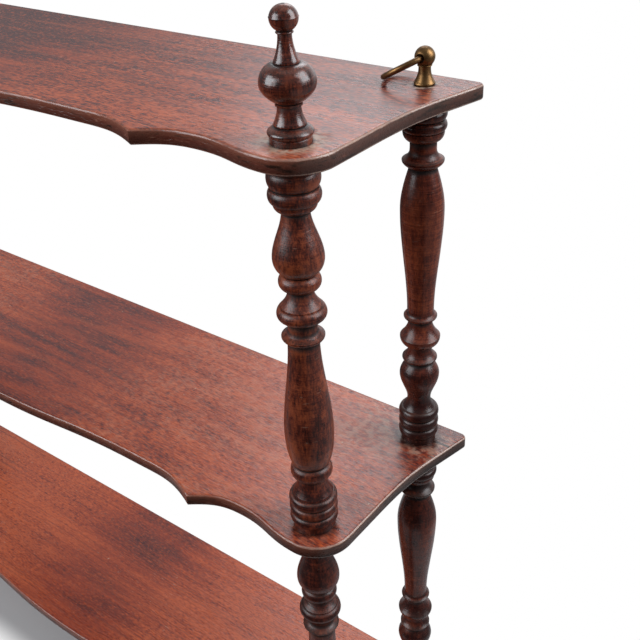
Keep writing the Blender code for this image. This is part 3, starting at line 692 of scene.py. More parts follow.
def board_wood(finish, look, pattern, soiled):
    """Polished wood by its figure and fine grain, and the pores in it."""
    kit = pattern.kit
    along = pattern.along
    broad = pattern.swayed((1.8, 26.0, 26.0), 3.0)
    flame = pattern.swayed((15.0, 85.0, 85.0), 2.0, 0.5)
    figure = broad.swing + pattern.blotch.swing * 0.7 + flame.swing * 1.1
    fine = (
        pattern.fibre.swing * 0.5 + pattern.dash.swing * 0.2 + pattern.speckle.swing * 0.2
        + pattern.grit.swing * 1.1)
    shaded = pattern.y.rise(*SHADED_BACK) * along.rise(look.shade_reach, look.shade_reach * 0.3) * look.shade
    tone = (
        # painted light: lighter towards the ends, where more light falls
        0.31 + look.redness + along.rise(*PAINTED_LIGHTER_END) * 0.28 + along.rise(*PAINTED_LIGHTEST_END) * 0.13
        + pattern.streak.swing * (0.4 + look.figure * 0.3)
        + fine * look.grain * (0.55 + along.rise(*DRIER) * 1.1)
        + figure * look.figure - shaded - soiled)
    wood = kit.ramp(tone, (0.12, finish.board_dark), (0.50, finish.board_red), (0.90, finish.board_light))
    pores = pattern.dash.rise(0.56, 0.64) * (0.3 + pattern.streak.rise(0.40, 0.60) * 0.7)
    gleam = pattern.swayed((230.0, 850.0, 850.0), 1.0).rise(0.57, 0.66)
    glow = pattern.swayed((9.0, 130.0, 130.0), 4.0, 0.65).rise(0.50, 0.70)
    line = pattern.swayed((6.0, 600.0, 600.0), 2.0).rise(0.55, 0.63)
    smudge = pattern.swayed((12.0, 80.0, 80.0), 3.0, 0.6).rise(0.50, 0.72)
    wood = kit.layered(
        wood, (pores * 0.2, finish.board_dark), (gleam * look.grain * 0.40, finish.board_light),
        (glow * look.figure * 0.45, finish.board_light), (line * look.lines, finish.board_dark),
        (smudge * look.smear, finish.board_dark))
    return wood, pores


def board_marks(finish, look, pattern, wood):
    """The wood with scratches and flecks, and a film of dust colour: real dust towards its ends and its back,
    and a painted sheen over the rest.
    """
    kit = pattern.kit
    scratch = pattern.still((90.0, 1200.0, 900.0), 1.0, turn=0.5).rise(*SCRATCH)
    cross_scratch = pattern.still((80.0, 1300.0, 900.0), 1.0, turn=-0.25).rise(*SCRATCH)
    fleck = kit.noise(pattern.place, 330.0, 1.0).rise(*SCRATCH)
    marks = (scratch + cross_scratch + fleck) * pattern.blotch.rise(0.36, 0.60)
    # dust towards the ends and the back, and a thin film of the dust colour over the rest as a painted sheen
    film = (
        pattern.along.rise(*DUSTY_END) * pattern.y.rise(*DUSTY_BACK) * 0.7
        + pattern.along.rise(*SHEEN_AND_DUST_FILM) * 0.3)
    film = film * pattern.blotch.rise(0.30, 0.60) * pattern.speckle.rise(0.40, 0.62) * look.grubbiness
    return kit.layered(wood, (marks * 0.7, finish.dust), (film * 0.8, finish.dust))


def board_dirt(finish, look, pattern, feet, wood):
    """The wood with dust, and black grime with a painted contact shadow, round the feet that stand on it, and
    where the dust lies.
    """
    kit = pattern.kit
    ragged = pattern.speckle.swing
    dust = 0.0
    grime_and_shadow = 0.0
    for (axis_x, axis_y), foot in zip(feet, (look.front_foot, look.back_foot)):
        away = kit.distance(pattern.along - axis_x, pattern.y - axis_y) - foot.radius
        # black grime with a painted contact shadow against each foot
        grime_and_shadow = grime_and_shadow + (away + ragged * foot.grime_and_shadow).rise(foot.grime_and_shadow, 0.0)
        if foot.dust:
            dust = dust + (away + ragged * foot.dust * 1.6).rise(foot.dust, foot.dust * 0.2)
    dusted = dust * (0.08 + pattern.speckle.rise(0.40, 0.60) * 0.85)
    return kit.layered(wood, (dusted, finish.dust), (grime_and_shadow * 0.8, finish.black_for_shade_and_dirt)), dust


def board_split(finish, pattern, split, wood):
    """The wood with a black crack at its end."""
    away = abs(pattern.y - split.across + pattern.streak.swing * SPLIT_WAVER)
    crack = away.rise(split.half_width, 0.0) * pattern.x.rise(split.start, split.start + SPLIT_FADE)
    return pattern.kit.mix(crack, wood, finish.black_for_shade_and_dirt)


def board_edge(finish, pattern, middle, soiled):
    """Mottled sawn edge, warmer above with a painted sheen, black below with painted shade and the dirt of
    the ends, and dull on the end grain.
    """
    mottle = pattern.mottle
    height = pattern.z - middle
    # painted sheen towards the top of the edge
    upper = height.rise(*PAINTED_SHEEN_EDGE)
    edge = pattern.kit.ramp(
        mottle, (0.34, finish.black_for_shade_and_dirt), (0.46, finish.board_rim), (0.53, finish.turned_red),
        (0.60, finish.board_rim), (0.76, finish.board_arris))
    return pattern.kit.layered(
        edge, (pattern.side * 0.65, finish.board_side),
        (mottle.rise(0.49, 0.36) * 0.55, finish.black_for_shade_and_dirt),
        (mottle.rise(0.54, 0.68) * 0.35, finish.turned_worn),
        # painted sheen: warmer and lighter on the upper part of the edge
        (upper * (1.0 - pattern.side) * 0.45, finish.turned_worn),
        (upper * 0.08, finish.board_arris),
        # painted shade: black towards the underside, with the dirt of the ends added
        (height.rise(*PAINTED_SHADE_EDGE) * 0.5 + soiled, finish.black_for_shade_and_dirt))


def board_finish(name, finish, look, middle, feet):
    """Old polished mahogany with dust and grime on it and worn arrises."""
    material, kit, shader = new_finish(name)
    pattern = BoardPatterns(kit, look.shift)
    soiled = pattern.along.rise(*SOILED_END) * (0.55 + pattern.y.rise(*SOILED_BACK) * 0.45) * look.grubbiness
    wood, pores = board_wood(finish, look, pattern, soiled)
    wood = board_marks(finish, look, pattern, wood)
    wood, dust = board_dirt(finish, look, pattern, feet, wood)
    if look.split:
        wood = board_split(finish, pattern, look.split, wood)
    edge = board_edge(finish, pattern, middle, soiled)
    arris = kit.attribute("arris")
    worn = (arris * 1.1 + pattern.mottle.swing * 0.7 + pattern.speckle.swing * 0.4).rise(0.70, 1.05)
    # arrises rubbed bare, with a painted highlight along the side edges and the ends
    bared_and_highlit = worn * (0.06 + pattern.along.rise(*BARED_AND_HIGHLIT_END) * 0.25 + pattern.side * 0.5)
    wood = kit.layered(wood, (kit.attribute("rim"), edge), (bared_and_highlit, finish.board_arris))
    rough = (
        0.29 + pattern.blotch.swing * 0.22 + pattern.fibre.swing * 0.20 + dust * 0.2
        - worn * pattern.side * 0.14)
    height = (
        pattern.streak.swing * 0.35 + pattern.fibre.swing * 0.8 + pattern.blotch.swing * 0.8
        + pattern.grit.swing * 0.4 - pores * 0.5)
    set_shader(
        kit, shader, Base_Color=wood, Roughness=rough, IOR=WOOD_IOR,
        Normal=kit.bump(height, 0.35, BOARD_BUMP))
    return material


def turned_finish(name, finish):
    """Dark polish over turned mahogany, worn in patches and dusty on rims, with painted shade that makes the
    grooves black and the ends darker, and painted light that makes the undersides lighter.
    """
    look = TURNED_LOOKS[name]
    wear = look.wear
    material, kit, shader = new_finish(name)
    place = kit.place()
    relief = kit.attribute("relief")
    height = kit.attribute("height")
    upward = kit.facing()[2]

    streak = kit.drawn_noise(place, (260.0, 260.0, 18.0), 4.0, 0.65)
    fibre = kit.drawn_noise(place, (800.0, 800.0, 110.0), 3.0, 0.65)
    tooled = kit.drawn_noise(place, (30.0, 30.0, 1500.0), 2.0, 0.6)
    patch = kit.drawn_noise(place, (190.0, 190.0, 130.0), 4.0, 0.7)
    soot = kit.drawn_noise(place, (110.0, 110.0, 80.0), 5.0, 0.72).rise(0.52, 0.72)
    scratch = kit.drawn_noise(place, (120.0, 120.0, 1300.0), 1.0).rise(0.73, 0.80)
    blotch = kit.noise(place, 42.0, 4.0, 0.65)
    grit = kit.noise(place, 1100.0, 2.0, 0.7)

    tone = (
        0.6 - look.depth + streak.swing * 0.6 + blotch.swing * (0.4 + wear) + fibre.swing * (0.4 + wear)
        + tooled.swing * 0.6 + grit.swing * (0.4 + wear * 0.6) + patch.swing * wear
        - height.rise(*FOOT_SHADED) * look.foot_shade - height.rise(*HEAD_SHADED) * HEAD_SHADE
        # painted light: lighter undersides, as if lit by light bounced off the board below, and darker upper
        # sides
        - upward.rise(-0.4, 0.4) * 0.16 - abs(relief).rise(0.15, 0.8) * 0.14)
    wood = kit.ramp(tone, (0.24, finish.turned_dark), (0.54, finish.turned_red), (0.88, finish.turned_worn))
    pores = fibre.rise(0.58, 0.70) * streak.rise(0.40, 0.58)
    rubbed = (relief * 0.15 + patch.swing * 2.2 + blotch.swing * 3.4).rise(0.20, 1.1)
    # painted shade: near black in the recesses of the profile
    groove = (patch.swing * 0.7 - relief).rise(0.12, 0.85)
    scuffed = (kit.attribute("keen") * 1.6 + patch.swing * 2.0).rise(0.60, 1.3)
    dusty = upward.rise(0.40, 0.92) * (0.2 + patch * 0.8) * relief.rise(-0.5, 0.3)
    wood = kit.layered(
        wood, (pores * 0.4, finish.black_for_shade_and_dirt), (rubbed * wear, finish.turned_worn),
        (soot * wear * 0.6, finish.black_for_shade_and_dirt), (groove * 0.95, finish.black_for_shade_and_dirt),
        (scuffed * 0.4 + scratch * 0.3, finish.dust), (dusty * 0.07, finish.dust))

    rough = (
        look.dullness + patch.swing * 0.28 + tooled.swing * 0.15 + groove * 0.5 + soot * 0.08 + dusty * 0.12
        + scuffed * 0.1)
    surface = fibre.swing * 0.3 + patch.swing + streak.swing * 0.2 + tooled.swing * 0.7 - pores * 0.4
    set_shader(
        kit, shader, Base_Color=wood, Roughness=rough, IOR=WOOD_IOR, Specular_IOR_Level=look.polish,
        Normal=kit.bump(surface, 0.12 + wear * 0.16, TURNED_BUMP))
    return material


def brass_finish(name, finish, tarnish):
    """Aged brass, rubbed bright on what stands proud."""
    material, kit, shader = new_finish(name)
    place = kit.place()
    relief = kit.attribute("relief")
    cloud = kit.noise(place, 210.0, 4.0, 0.65)
    grain = kit.noise(place, 1500.0, 2.0)
    dull = (cloud * 1.2 - relief * 0.22 + grain.swing * 0.35 + tarnish).rise(0.35, 1.05)
    metal = kit.mix(dull, finish.brass, finish.brass_dark)
    set_shader(
        kit, shader, Base_Color=metal, Metallic=1.0 - dull * 0.12, Roughness=0.36 + dull * 0.20,
        Normal=kit.bump(cloud * 0.6 + grain * 0.3, 0.12, BRASS_BUMP))
    return material


# Eases of a turned curve: how much of its change in radius is done at a share of its drop
def ogee(t):
    return t * t * (3 - 2 * t)


def opening(t):
    return math.sin(t * math.pi / 2)


def closing(t):
    return 1 - math.cos(t * math.pi / 2)


def flare(t):
    return t * t


def sharp(t):
    return t ** 3


class Turning:
    """Half section of a turned piece, from its top end down, as (radius, depth) points."""

    def __init__(self):
        self.depth = 0.0
        self.points = []

    def cut(self, radius, drop=0.0):
        self.depth += drop
        self.points.append((radius, self.depth))

    def band(self, radius, drop):
        self.cut(radius)
        self.cut(radius, drop)

    def sweep(self, start, end, drop, ease):
        self.cut(start)
        for i in range(SWEEP_STEPS):
            self.cut(start + (end - start) * ease((i + 1) / SWEEP_STEPS), drop / SWEEP_STEPS)

    def bead(self, radius, drop, above, below):
        """A half round that stands on the radii above and below it."""
        top = self.depth
        for i in range(BEAD_STEPS + 1):
            turn = math.pi * i / BEAD_STEPS
            way = (1 - math.cos(turn)) / 2
            root = above + (below - above) * way
            self.depth = top + drop * way
            self.cut(root + (radius - root) * math.sin(turn))

    def quarter(self, start, end, drop):
        """A quarter ellipse that is steep at its narrow end."""
        top = self.depth
        for i in range(SWEEP_STEPS + 1):
            turn = math.pi / 2 * i / SWEEP_STEPS
            rising = end > start
            way = 1 - math.cos(turn) if rising else math.sin(turn)
            self.depth = top + drop * way
            self.cut(start + (end - start) * (math.sin(turn) if rising else 1 - math.cos(turn)))

    def lip(self, above, radius, below, rise, edge, fall):
        """A thin-edged disc: hollow above, rounded below."""
        self.sweep(above, radius, rise, sharp)
        self.cut(radius, edge)
        self.sweep(radius, below, fall, closing)

    def ball(self, radius, end_radius, squash=1.0, ridge=0.0):
        """A ball from its top to where it meets a smaller radius, with a fine ridge round its middle."""
        lowest = math.pi - math.asin(end_radius / radius)
        for i in range(BEAD_STEPS * 2 + 1):
            turn = lowest * i / (BEAD_STEPS * 2)
            proud = ridge if i == RIDGE_STEP else 0.0
            self.depth = radius * squash * (1 - math.cos(turn))
            self.cut(radius * math.sin(turn) + proud)

    def closed(self):
        """The points without repeats, with both ends brought to the axis."""
        points = [(0.0, self.points[0][1]), *self.points, (0.0, self.points[-1][1])]
        kept = points[:1]
        for point in points[1:]:
            if math.dist(point, kept[-1]) > WELD:
                kept.append(point)
        return kept


def relief_of(points, reach):
    """How far each point of a profile stands proud of its mean radius within a reach, in millimetres."""
    points = np.array(points)
    along = np.concatenate(([0.0], np.cumsum(np.linalg.norm(np.diff(points, axis=0), axis=1))))
    even = np.arange(0.0, along[-1], RELIEF_STEP)
    radius = np.interp(even, along, points[:, 0])
    steps = int(RELIEF_WINDOW * reach / RELIEF_STEP)
    window = np.exp(-0.5 * (np.arange(-steps, steps + 1) * RELIEF_STEP / reach) ** 2)
    padded = np.pad(radius, steps, mode="edge")
    mean = np.convolve(padded, window / window.sum(), mode="valid")
    return np.interp(along, even, (radius - mean) / MM)


def lathe_tree():
    """Node tree that carries a profile round its axis, dents it a little and gives it a material."""
    found = bpy.data.node_groups.get("lathe")
    if found:
        return found
    tree = bpy.data.node_groups.new("lathe", "GeometryNodeTree")
    sockets = (
        ("Profile", "NodeSocketGeometry"), ("Sides", "NodeSocketInt"), ("Unevenness", "NodeSocketFloat"),
        ("Variation", "NodeSocketFloat"), ("Material", "NodeSocketMaterial"))
    for name, kind in sockets:
        tree.interface.new_socket(name, in_out="INPUT", socket_type=kind)
    tree.interface.new_socket("Piece", in_out="OUTPUT", socket_type="NodeSocketGeometry")
    kit = NodeKit(tree)
    given = kit.add("NodeGroupInput").socket.node
    inputs = {socket.name: Signal(kit, socket) for socket in given.outputs}
    profile = kit.add("GeometryNodeMeshToCurve", {}, {"Mesh": inputs["Profile"]})
    profile = kit.add("GeometryNodeTransform", {}, {"Geometry": profile, "Translation": (-BORE, 0.0, 0.0)})
    circle = kit.add("GeometryNodeCurvePrimitiveCircle", {}, {"Resolution": inputs["Sides"], "Radius": BORE})
    piece = kit.add("GeometryNodeCurveToMesh", {}, {"Curve": circle, "Profile Curve": profile})
    piece = kit.add("GeometryNodeMergeByDistance", {}, {"Geometry": piece, "Distance": WELD})
    dents = kit.add(
        "ShaderNodeTexNoise", {"noise_dimensions": "4D"},
        {"Vector": kit.add("GeometryNodeInputPosition"), "W": inputs["Variation"], "Scale": DENT_SCALE,
         "Detail": DENT_DETAIL})
    offset = kit.add(
        "ShaderNodeVectorMath", {"operation": "SCALE"},
        {0: kit.add("GeometryNodeInputNormal"), "Scale": dents.swing * inputs["Unevenness"]})
    piece = kit.add("GeometryNodeSetPosition", {}, {"Geometry": piece, "Offset": offset})
    piece = kit.add("GeometryNodeRealizeInstances", {}, {"Geometry": piece})
    piece = kit.add("GeometryNodeSetMaterial", {}, {"Geometry": piece, "Material": inputs["Material"]})
    kit.add("NodeGroupOutput", {}, {"Piece": piece})
    return tree


def add_to_scene(name, data):
    obj = bpy.data.objects.new(name, data)
    bpy.context.scene.collection.objects.link(obj)
    return obj


def plain_mesh(obj):
    """The evaluated shape of an object as a plain closed mesh; the modifiers are removed."""
    evaluated = obj.evaluated_get(bpy.context.evaluated_depsgraph_get())
    mesh = bpy.data.meshes.new_from_object(evaluated)
    obj.modifiers.clear()
    shape = bmesh.new()
    shape.from_mesh(mesh)
    bmesh.ops.remove_doubles(shape, verts=shape.verts, dist=WELD)
    bmesh.ops.recalc_face_normals(shape, faces=shape.faces)
    shape.to_mesh(mesh)
    shape.free()
    mesh.shade_smooth()
    mesh.set_sharp_from_angle(angle=SHARP_ANGLE)
    obj.data = mesh
    return mesh


def turned_object(name, points, closed, matrix, sides, unevenness, variation, material):
    """A profile turned by the lathe tree and put in its place."""
    profile = bpy.data.meshes.new(name)
    edges = [(i, i + 1) for i in range(len(points) - 1)]
    if closed:
        edges.append((len(points) - 1, 0))
    profile.from_pydata([(radius, depth, 0.0) for radius, depth in points], edges, [])
    for attribute, reach in (("relief", RELIEF_REACH), ("keen", KEEN_REACH)):
        values = relief_of(points, reach)
        profile.attributes.new(attribute, "FLOAT", "POINT").data.foreach_set("value", values)
    heights = [points[-1][1] - depth for _, depth in points]
    profile.attributes.new("height", "FLOAT", "POINT").data.foreach_set("value", heights)
    obj = add_to_scene(name, profile)
    tree = lathe_tree()
    modifier = obj.modifiers.new("Lathe", "NODES")
    modifier.node_group = tree
    values = {"Sides": sides, "Unevenness": unevenness, "Variation": variation, "Material": material}
    for item in tree.interface.items_tree:
        if item.name in values:
            modifier[item.identifier] = values[item.name]
    plain_mesh(obj).transform(matrix)
    return obj


def settle(obj, node, body):
    """Hands a finished piece to the frame in place of its node."""
    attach(obj, body)
    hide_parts(node)


def axis_of(node):
    low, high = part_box(node)
    return (low.x + high.x) / 2, (low.y + high.y) / 2


def bezier(start, first, second, end):
    """Points of one curve, without its end."""
    t = np.arange(OUTLINE_STEPS)[:, None] / OUTLINE_STEPS
    knots = [np.array(point) for point in (start, first, second, end)]
    return (
        (1 - t) ** 3 * knots[0] + 3 * (1 - t) ** 2 * t * knots[1]
        + 3 * (1 - t) * t ** 2 * knots[2] + t ** 3 * knots[3])


def level_knot(point, before, after):
    """A knot with handles of two lengths, both along the front."""
    x, y = point
    return point, (x - before, y), (x + after, y)


def board_knots(board, half_width):
    """Knots of the right half, from the middle of the front to the back corner: point, before, after."""
    side = half_width - board.side_inset
    front = -board.lobe_depth
    arc = board.lobe_radius * QUARTER_ARC
    corner_arc = board.back_corner_radius * QUARTER_ARC
    bow = (0.0, front - board.bow_reach)
    recess = (half_width - board.recess_inset, front + board.recess_depth)
    cusp = (recess[0] - board.cusp_step, front - board.cusp_reach)
    hollow = (cusp[0] - board.hollow_step, front + board.hollow_depth)
    lobe_front = (side - board.lobe_radius, front)
    lobe_side = (side, front + board.lobe_radius)
    waist = (side, lobe_side[1] + board.waist_length)
    corner_side = (half_width, -board.back_corner_radius)
    corner_back = (half_width - board.back_corner_radius, 0.0)

    bow_reach = (hollow[0] - bow[0]) * CURVE_SHARE
    hollow_reach = (cusp[0] - hollow[0]) * CURVE_SHARE
    cusp_reach = (recess[0] - cusp[0]) * CURVE_SHARE
    lobe_reach = (lobe_front[0] - recess[0]) * CURVE_SHARE
    waist_reach = (corner_side[1] - waist[1]) * CURVE_SHARE
    inner = (math.cos(board.cusp_inner_angle) * hollow_reach, math.sin(board.cusp_inner_angle) * hollow_reach)
    outer = (math.cos(board.cusp_outer_angle) * cusp_reach, math.sin(board.cusp_outer_angle) * cusp_reach)
    return [
        level_knot(bow, bow_reach, bow_reach),
        level_knot(hollow, bow_reach, hollow_reach),
        (cusp, (cusp[0] - inner[0], cusp[1] + inner[1]), (cusp[0] + outer[0], cusp[1] + outer[1])),
        level_knot(recess, cusp_reach, lobe_reach),
        level_knot(lobe_front, lobe_reach, arc),
        (lobe_side, (lobe_side[0], lobe_side[1] - arc), lobe_side),
        (waist, waist, (waist[0], waist[1] + waist_reach)),
        (corner_side, (corner_side[0] - board.corner_slant, corner_side[1] - waist_reach),
         (corner_side[0], corner_side[1] + corner_arc)),
        (corner_back, (corner_back[0] + corner_arc, corner_back[1]), corner_back),
    ]


def board_outline(board, half_width):
    """Points round a board, counterclockwise from the middle of its front."""
    right = board_knots(board, half_width)
    left = [tuple((-x, y) for x, y in (point, after, before)) for point, before, after in reversed(right[1:])]
    knots = right + left
    pieces = []
    for knot, following in zip(knots, knots[1:] + knots[:1]):
        pieces.append(bezier(knot[0], knot[2], following[1], following[0]))
    return np.concatenate(pieces)


def drawn_in(outline, inset):
    """The outline moved inwards by an inset, mitred at its corners."""
    ahead = np.roll(outline, -1, axis=0) - outline
    ahead /= np.linalg.norm(ahead, axis=1)[:, None]
    inward = np.stack((-ahead[:, 1], ahead[:, 0]), axis=1)
    before = np.roll(inward, 1, axis=0)
    meeting = 1 + np.sum(inward * before, axis=1)
    return outline + (inward + before) * (inset / meeting)[:, None]


def edge_section(board, low, high):
    """Rows of a board's edge from its underside to its top: inset, height, rim share, arris share."""
    radius = board.arris_radius
    land = radius + board.arris_land
    lower = [(land, low, 0.0, 0.0)]
    for i in range(ARRIS_STEPS + 1):
        turn = math.pi / 2 * i / ARRIS_STEPS
        inset = radius * (1 - math.sin(turn))
        height = low + radius * (1 - math.cos(turn))
        lower.append((inset, height, i / ARRIS_STEPS, 0.5 + math.sin(2 * turn) / 2))
    lower.append((0.0, low + land, 1.0, 0.0))
    upper = [(inset, low + high - height, rim, arris) for inset, height, rim, arris in reversed(lower)]
    return lower + upper


def board_mesh(name, board, outline, low, high):
    """A board with the section of its edge carried round its outline."""
    section = edge_section(board, low, high)
    points = len(outline)
    vertices = []
    for inset, height, _, _ in section:
        ring = drawn_in(outline, inset)
        vertices.extend((x, y, height) for x, y in ring)
    faces = [tuple(reversed(range(points)))]
    for row in range(len(section) - 1):
        for i in range(points):
            j = (i + 1) % points
            faces.append((row * points + i, row * points + j, (row + 1) * points + j, (row + 1) * points + i))
    faces.append(tuple(range((len(section) - 1) * points, len(section) * points)))
    mesh = bpy.data.meshes.new(name)
    mesh.from_pydata(vertices, [], faces)
    for column, attribute in ((2, "rim"), (3, "arris")):
        values = np.repeat([row[column] for row in section], points)
        mesh.attributes.new(attribute, "FLOAT", "POINT").data.foreach_set("value", values)
    mesh.shade_smooth()
    mesh.set_sharp_from_angle(angle=SHARP_ANGLE)
    return mesh


class WALLSHELF_OT_boards(bpy.types.Operator):
    """Make the three shaped boards with their worn edges"""

    bl_idname = "wall_shelf.boards"
    bl_label = "Boards"

    def execute(self, context):
        board = context.scene.wall_shelf_boards
        finish = context.scene.wall_shelf_finish
        feet = (axis_of("front_column_upper_right"), axis_of("back_column_upper_right"))
        for name in BOARDS:
            node = f"{name}_shelf"
            piece = f"{name}_board"
            low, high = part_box(node)
            outline = board_outline(board, high.x)
            obj = add_to_scene(piece, board_mesh(piece, board, outline, low.z, high.z))
            middle = (low.z + high.z) / 2
            obj.data.materials.append(
                board_finish(f"{piece}_mahogany", finish, BOARD_LOOKS[name], middle, feet))
            settle(obj, node, SHELF_BODY)
        return {"FINISHED"}


def bay(above, below):
    """Top of a column under one board, and its height down to the next."""
    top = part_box(f"{above}_shelf")[0].z - SEAT_GAP
    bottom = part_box(f"{below}_shelf")[1].z + SEAT_GAP
    return top, top - bottom


def add_rings(turning, number, radius, groove, height):
    for _ in range(number):
        turning.bead(radius, height, radius - groove, radius - groove)


def front_column(column, front, height, collar_height, ring_heights, bead_flare):
    """Rings, a bulb, beads and a disc above a long vase that takes up the rest of the height."""
    turning = Turning()
    edge = column.edge
    root = column.ring_radius - column.groove
    if collar_height:
        turning.band(column.collar_radius, collar_height)
    for ring_height in ring_heights[:-1]:
        turning.bead(column.ring_radius, ring_height, root, root)
    turning.bead(column.ring_radius, ring_heights[-1], root, front.fillet_radius)
    turning.band(front.fillet_radius, edge)
    turning.quarter(front.fillet_radius, front.neck_radius, front.fillet_fall)
    turning.sweep(front.neck_radius, front.bulb_radius, front.bulb_rise, ogee)
    turning.quarter(front.bulb_radius, front.small_bead_root, front.bulb_fall)
    turning.bead(front.small_bead_radius, front.small_bead_height, front.small_bead_root, front.waist_radius)
    turning.sweep(front.waist_radius, front.rim_radius, bead_flare, flare)
    turning.cut(front.rim_radius, edge)
    turning.bead(
        front.large_bead_radius, front.large_bead_height, front.rim_radius - edge, front.disc_neck_radius)
    turning.band(front.disc_neck_radius, front.disc_neck_height)
    turning.lip(
        front.disc_neck_radius, front.disc_radius, front.vase_radius, front.disc_rise, edge, front.disc_fall)
    foot = column.foot_rings * front.foot_ring_height + column.foot_height
    ankle = front.ankle_bead_height + front.ankle_flare_height + edge
    vase_rise = height - turning.depth - front.belly_fall - ankle - foot
    turning.sweep(front.vase_radius, front.belly_radius, vase_rise, ogee)
    turning.quarter(front.belly_radius, front.belly_end_radius, front.belly_fall)
    turning.bead(front.ankle_bead_radius, front.ankle_bead_height, front.belly_end_radius, front.ankle_radius)
    turning.sweep(front.ankle_radius, front.foot_rim_radius, front.ankle_flare_height, flare)
    turning.cut(front.foot_rim_radius, edge)
    add_rings(turning, column.foot_rings, front.foot_ring_radius, column.groove, front.foot_ring_height)
    turning.band(front.foot_radius, column.foot_height)
    return turning


def back_column(column, back, height, ring_count, neck_height, shoulder_radius, ankle_height):
    """Rings and a saucer above a taper that takes up the rest of the height, then lips and a bulb."""
    turning = Turning()
    edge = column.edge
    turning.band(column.collar_radius, column.collar_height)
    add_rings(turning, ring_count, back.ring_radius, column.groove, back.ring_height)
    turning.band(back.fillet_radius, edge)
    turning.quarter(back.fillet_radius, back.neck_radius, back.fillet_fall)
    turning.cut(back.neck_radius, neck_height)
    turning.lip(
        back.neck_radius, back.saucer_radius, back.shoulder_root, back.cove_height, edge, back.saucer_fall)
    turning.band(back.shoulder_root, back.groove_height)
    turning.sweep(back.shoulder_root, shoulder_radius, back.shoulder_rise, opening)
    garter = back.garter_rise + edge + back.garter_fall
    knop = back.knop_rise + edge + back.knop_fall
    disc = back.disc_rise + edge + back.disc_fall
    bulb = back.bulb_rise + back.bulb_fall + ankle_height + back.flare_height
    foot = column.foot_rings * back.foot_ring_height + column.foot_height
    taper = height - turning.depth - garter - knop - disc - bulb - foot
    turning.sweep(shoulder_radius, back.taper_radius, taper, ogee)
    turning.lip(
        back.taper_radius, back.garter_radius, back.waist_radius, back.garter_rise, edge, back.garter_fall)
    turning.sweep(back.waist_radius, back.knop_radius, back.knop_rise, flare)
    turning.cut(back.knop_radius, edge)
    turning.quarter(back.knop_radius, back.waist_radius, back.knop_fall)
    turning.lip(back.waist_radius, back.disc_radius, back.bulb_root, back.disc_rise, edge, back.disc_fall)
    turning.sweep(back.bulb_root, back.bulb_radius, back.bulb_rise, opening)
    turning.sweep(back.bulb_radius, back.ankle_radius, back.bulb_fall, ogee)
    turning.cut(back.ankle_radius, ankle_height)
    turning.sweep(back.ankle_radius, back.foot_ring_radius - column.groove, back.flare_height, flare)
    add_rings(turning, column.foot_rings, back.foot_ring_radius, column.groove, back.foot_ring_height)
    turning.band(back.foot_radius, column.foot_height)
    return turning


def add_pair(kind, turning, top, column, material):
    """The left and right pieces of one kind, each hanging from its top on its node's axis."""
    for number, side in enumerate(SIDES):
        node = f"{kind}_{side}"
        matrix = Matrix.Translation((*axis_of(node), top))
        variation = top * DENT_SPREAD + number * DENT_STEP
        obj = turned_object(
            f"turned_{node}", turning.closed(), False, matrix, column.sides, column.unevenness, variation,
            material)
        settle(obj, node, SHELF_BODY)


class WALLSHELF_OT_front_columns(bpy.types.Operator):
    """Turn the upper and lower front columns"""

    bl_idname = "wall_shelf.front_columns"
    bl_label = "Front columns"

    def execute(self, context):
        column = context.scene.wall_shelf_columns
        front = context.scene.wall_shelf_front_columns
        finish = context.scene.wall_shelf_finish
        woods = {"upper": "front_column_mahogany", "lower": "lower_front_column_mahogany"}
        upper_rings = (front.upper_first_ring, front.upper_second_ring)
        tops = {
            "upper": (column.collar_height, upper_rings, front.upper_flare),
            "lower": (0.0, (front.lower_ring,), front.lower_flare),
        }
        for row, boards in BAYS.items():
            top, height = bay(*boards)
            turning = front_column(column, front, height, *tops[row])
            wood = turned_finish(woods[row], finish)
            add_pair(f"front_column_{row}", turning, top, column, wood)
        return {"FINISHED"}


class WALLSHELF_OT_back_columns(bpy.types.Operator):
    """Turn the upper and lower back columns"""

    bl_idname = "wall_shelf.back_columns"
    bl_label = "Back columns"

    def execute(self, context):
        column = context.scene.wall_shelf_columns
        back = context.scene.wall_shelf_back_columns
        finish = context.scene.wall_shelf_finish
        woods = {"upper": "back_column_mahogany", "lower": "lower_back_column_mahogany"}
        sizes = {
            "upper": (back.upper_rings, back.upper_neck, back.upper_shoulder, back.upper_ankle),
            "lower": (back.lower_rings, back.lower_neck, back.lower_shoulder, back.lower_ankle),
        }
        for row, boards in BAYS.items():
            top, height = bay(*boards)
            turning = back_column(column, back, height, *sizes[row])
            wood = turned_finish(woods[row], finish)
            add_pair(f"back_column_{row}", turning, top, column, wood)
        return {"FINISHED"}


def finial_turning(finial, column):
    """A ball on a flared neck, a bulb, a waist and a stepped base."""
    turning = Turning()
    edge = column.edge
    turning.ball(finial.ball_radius, finial.neck_radius, finial.ball_squash, finial.ball_ridge)
    turning.bead(finial.collar_radius, finial.collar_height, finial.neck_radius, finial.neck_radius)
    turning.sweep(finial.neck_radius, finial.rim_radius, finial.neck_height - edge, flare)
    turning.cut(finial.rim_radius, edge)
    turning.cut(finial.rim_radius - finial.groove, finial.groove / 2)
    turning.quarter(finial.rim_radius, finial.bulb_radius, finial.bulb_rise - finial.groove / 2)
    turning.sweep(finial.bulb_radius, finial.waist_radius, finial.bulb_fall - edge, flare)
    turning.band(finial.fillet_radius, edge * 2)
    turning.sweep(finial.waist_radius, finial.flange_radius, finial.waist_height - edge * 2, flare)
    turning.cut(finial.flange_radius, edge)
    turning.cut(finial.flange_radius - finial.groove, finial.groove)
    base_height = finial.base_height - edge - finial.groove
    base_fall = base_height * (1 - BASE_RISE)
    turning.sweep(finial.flange_radius, finial.base_radius, base_height * BASE_RISE, opening)
    turning.sweep(finial.base_radius, finial.foot_radius - finial.groove / 2, base_fall, closing)
    turning.cut(finial.foot_radius, finial.groove / 2)
    turning.cut(finial.foot_radius, finial.foot_height)
    return turning


